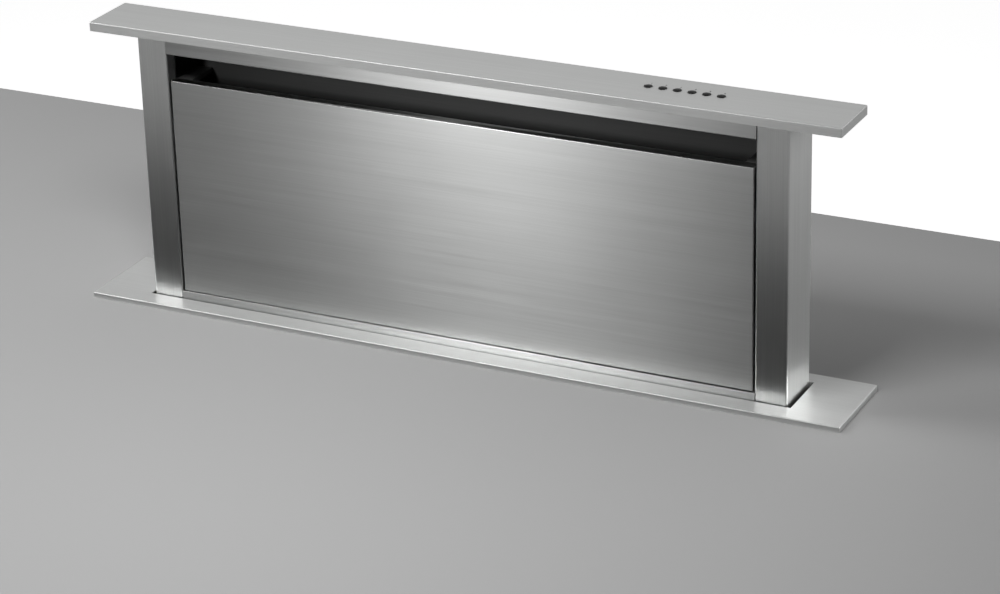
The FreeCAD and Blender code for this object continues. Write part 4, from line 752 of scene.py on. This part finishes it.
def worktopFinish():
    # plain grey to the camera, with a dark patch in front of the vent that only the steel mirrors,
    # a painted dark reflection
    grey = (stage["worktopColour"],) * 3
    finish = Finish("worktopGrey", grey, 0.7)
    finish.set("Specular IOR Level", 0.1)
    axes = finish.add("ShaderNodeSeparateXYZ", None, {0: finish.spot()})
    across, away = (Signal(finish.tree, axes.outputs[axis]) for axis in (0, 1))
    left, right, front, back = stage["darkPatch"]
    patch = (across > left) * (across < right) * (away > front) * (away < back)
    tone = finish.add("ShaderNodeMix", {"data_type": "RGBA"}, {0: patch})
    tone.inputs[6].default_value = (*grey, 1)
    tone.inputs[7].default_value = (*(stage["darkTone"],) * 3, 1)
    mirrored = finish.add("ShaderNodeBsdfDiffuse", None, {"Color": tone.outputs[2]})
    out = finish.tree.nodes["Material Output"]
    finish.tree.links.new(splitByRay(finish.tree, ["Is Glossy Ray"], mirrored.outputs[0],
                                     finish.shader.outputs[0]), out.inputs["Surface"])
    return finish.material


def floorFinish():
    finish = Finish("floorPale", (stage["floorColour"],) * 3, 0.8)
    finish.set("Specular IOR Level", 0.0)
    white = finish.add("ShaderNodeEmission", None, {
        "Color": (1, 1, 1, 1), "Strength": stage["floorWhite"]})
    mix = finish.add("ShaderNodeAddShader")
    finish.tree.links.new(finish.shader.outputs[0], mix.inputs[0])
    finish.tree.links.new(white.outputs[0], mix.inputs[1])
    out = finish.tree.nodes["Material Output"]
    finish.tree.links.new(splitByRay(finish.tree, ["Is Camera Ray"], mix.outputs[0],
                                     finish.shader.outputs[0]), out.inputs["Surface"])
    return finish.material


def stagePlane(name, x0, x1, y0, y1, z, material):
    bpy.ops.object.select_all(action="DESELECT")
    bpy.ops.mesh.primitive_plane_add(size=1, location=((x0 + x1) / 2, (y0 + y1) / 2, z))
    plane = bpy.context.object
    plane.name = name
    plane.scale = (x1 - x0, y1 - y0, 1)
    bpy.ops.object.transform_apply(location=True, rotation=True, scale=True)
    plane.data.materials.append(material)


def buildStage():
    left, right, front, back = stage["worktop"]
    holeLeft, holeRight, holeFront, holeBack = stage["cutOut"]
    grey = worktopFinish()
    stagePlane("worktopLeft", left, holeLeft, front, back, 0, grey)
    stagePlane("worktopRight", holeRight, right, front, back, 0, grey)
    stagePlane("worktopFront", holeLeft, holeRight, front, holeFront, 0, grey)
    stagePlane("worktopBack", holeLeft, holeRight, holeBack, back, 0, grey)
    reach = stage["floorReach"]
    stagePlane("floor", -reach, reach, -reach, reach, stage["floorLevel"], floorFinish())


room = {"away": 0.62, "across": 0.30, "middle": 0.46, "bright": 0.50, "dim": 0.07}


def buildWorld():
    # the camera sees plain white; all else, reflections too, sees a dimmer room that is
    # bright behind the vent and dim on the side in front of it
    world = bpy.data.worlds.new("studio")
    bpy.context.scene.world = world
    world.use_nodes = True
    tree = world.node_tree
    tree.nodes.clear()
    out = tree.nodes.new("ShaderNodeOutputWorld")
    walls = tree.nodes.new("ShaderNodeBackground")
    white = tree.nodes.new("ShaderNodeBackground")
    place = tree.nodes.new("ShaderNodeTexCoord")
    axes = tree.nodes.new("ShaderNodeSeparateXYZ")
    tree.links.new(place.outputs["Generated"], axes.inputs[0])
    across, away = (Signal(tree, axes.outputs[axis]) for axis in (0, 1))
    level = (away * room["away"] + across * room["across"] + room["middle"]).limited()
    glow = level * level * room["bright"] + room["dim"]
    tree.links.new(glow.socket, walls.inputs["Strength"])
    white.inputs["Color"].default_value = (1, 1, 1, 1)
    walls.inputs["Color"].default_value = (1, 1, 1, 1)
    tree.links.new(splitByRay(tree, ["Is Camera Ray"], white.outputs[0], walls.outputs[0]),
                   out.inputs["Surface"])


lamps = {
    "leftSoftbox": {"at": (-2.1, -0.45, 1.45), "aim": (0, 0, 0.1), "size": (1.0, 1.0), "watts": 40},
    "frontSoftbox": {"at": (0.0, -0.65, 1.10), "aim": (0.05, -0.05, 0.0), "size": (0.5, 0.3),
                     "watts": 11.0, "unseenBySteel": True},
    "panelCard": {"at": (-0.55, -1.27, 0.70), "aim": (0.07, -0.03, 0.2), "size": (0.16, 0.40),
                  "watts": 9.0, "steelOnly": True},
    "rightCard": {"at": (2.2, 0.5, 0.9), "aim": (0.37, 0, 0.15), "size": (0.7, 1.2), "watts": 60,
                  "steelOnly": True},
}


def buildLamps():
    for name, lamp in lamps.items():
        data = bpy.data.lights.new(name, "AREA")
        data.shape = "RECTANGLE"
        data.size, data.size_y = lamp["size"]
        data.energy = lamp["watts"]
        item = bpy.data.objects.new(name, data)
        bpy.context.scene.collection.objects.link(item)
        item.location = lamp["at"]
        way = Vector(lamp["aim"]) - Vector(lamp["at"])
        item.rotation_euler = way.to_track_quat("-Z", "Y").to_euler()
        item.visible_diffuse = not lamp.get("steelOnly", False)
        item.visible_glossy = not lamp.get("unseenBySteel", False)


view = {"place": (1.45322, -2.80769, 1.42469), "yaw": 0.4671, "pitch": -0.4099, "roll": -0.0278,
        "focal": 3.24704}


def buildCamera():
    yaw, pitch, roll = view["yaw"], view["pitch"], view["roll"]
    ahead = Vector((-math.sin(yaw) * math.cos(pitch), math.cos(yaw) * math.cos(pitch),
                    math.sin(pitch)))
    level = Vector((math.cos(yaw), math.sin(yaw), 0))
    above = level.cross(ahead)
    across = level * math.cos(roll) + above * math.sin(roll)
    upward = above * math.cos(roll) - level * math.sin(roll)
    data = bpy.data.cameras.new("photographView")
    data.sensor_width = 36
    data.lens = 36 * view["focal"]
    data.clip_start, data.clip_end = 0.05, 60
    item = bpy.data.objects.new("photographView", data)
    bpy.context.scene.collection.objects.link(item)
    turn = Matrix((across, upward, -ahead)).transposed().to_4x4()
    item.matrix_world = Matrix.Translation(Vector(view["place"])) @ turn
    bpy.context.scene.camera = item


buildStage()
buildWorld()
buildLamps()
buildCamera()
bpy.context.scene.view_settings.view_transform = "Standard"
print("stage, light and camera made")
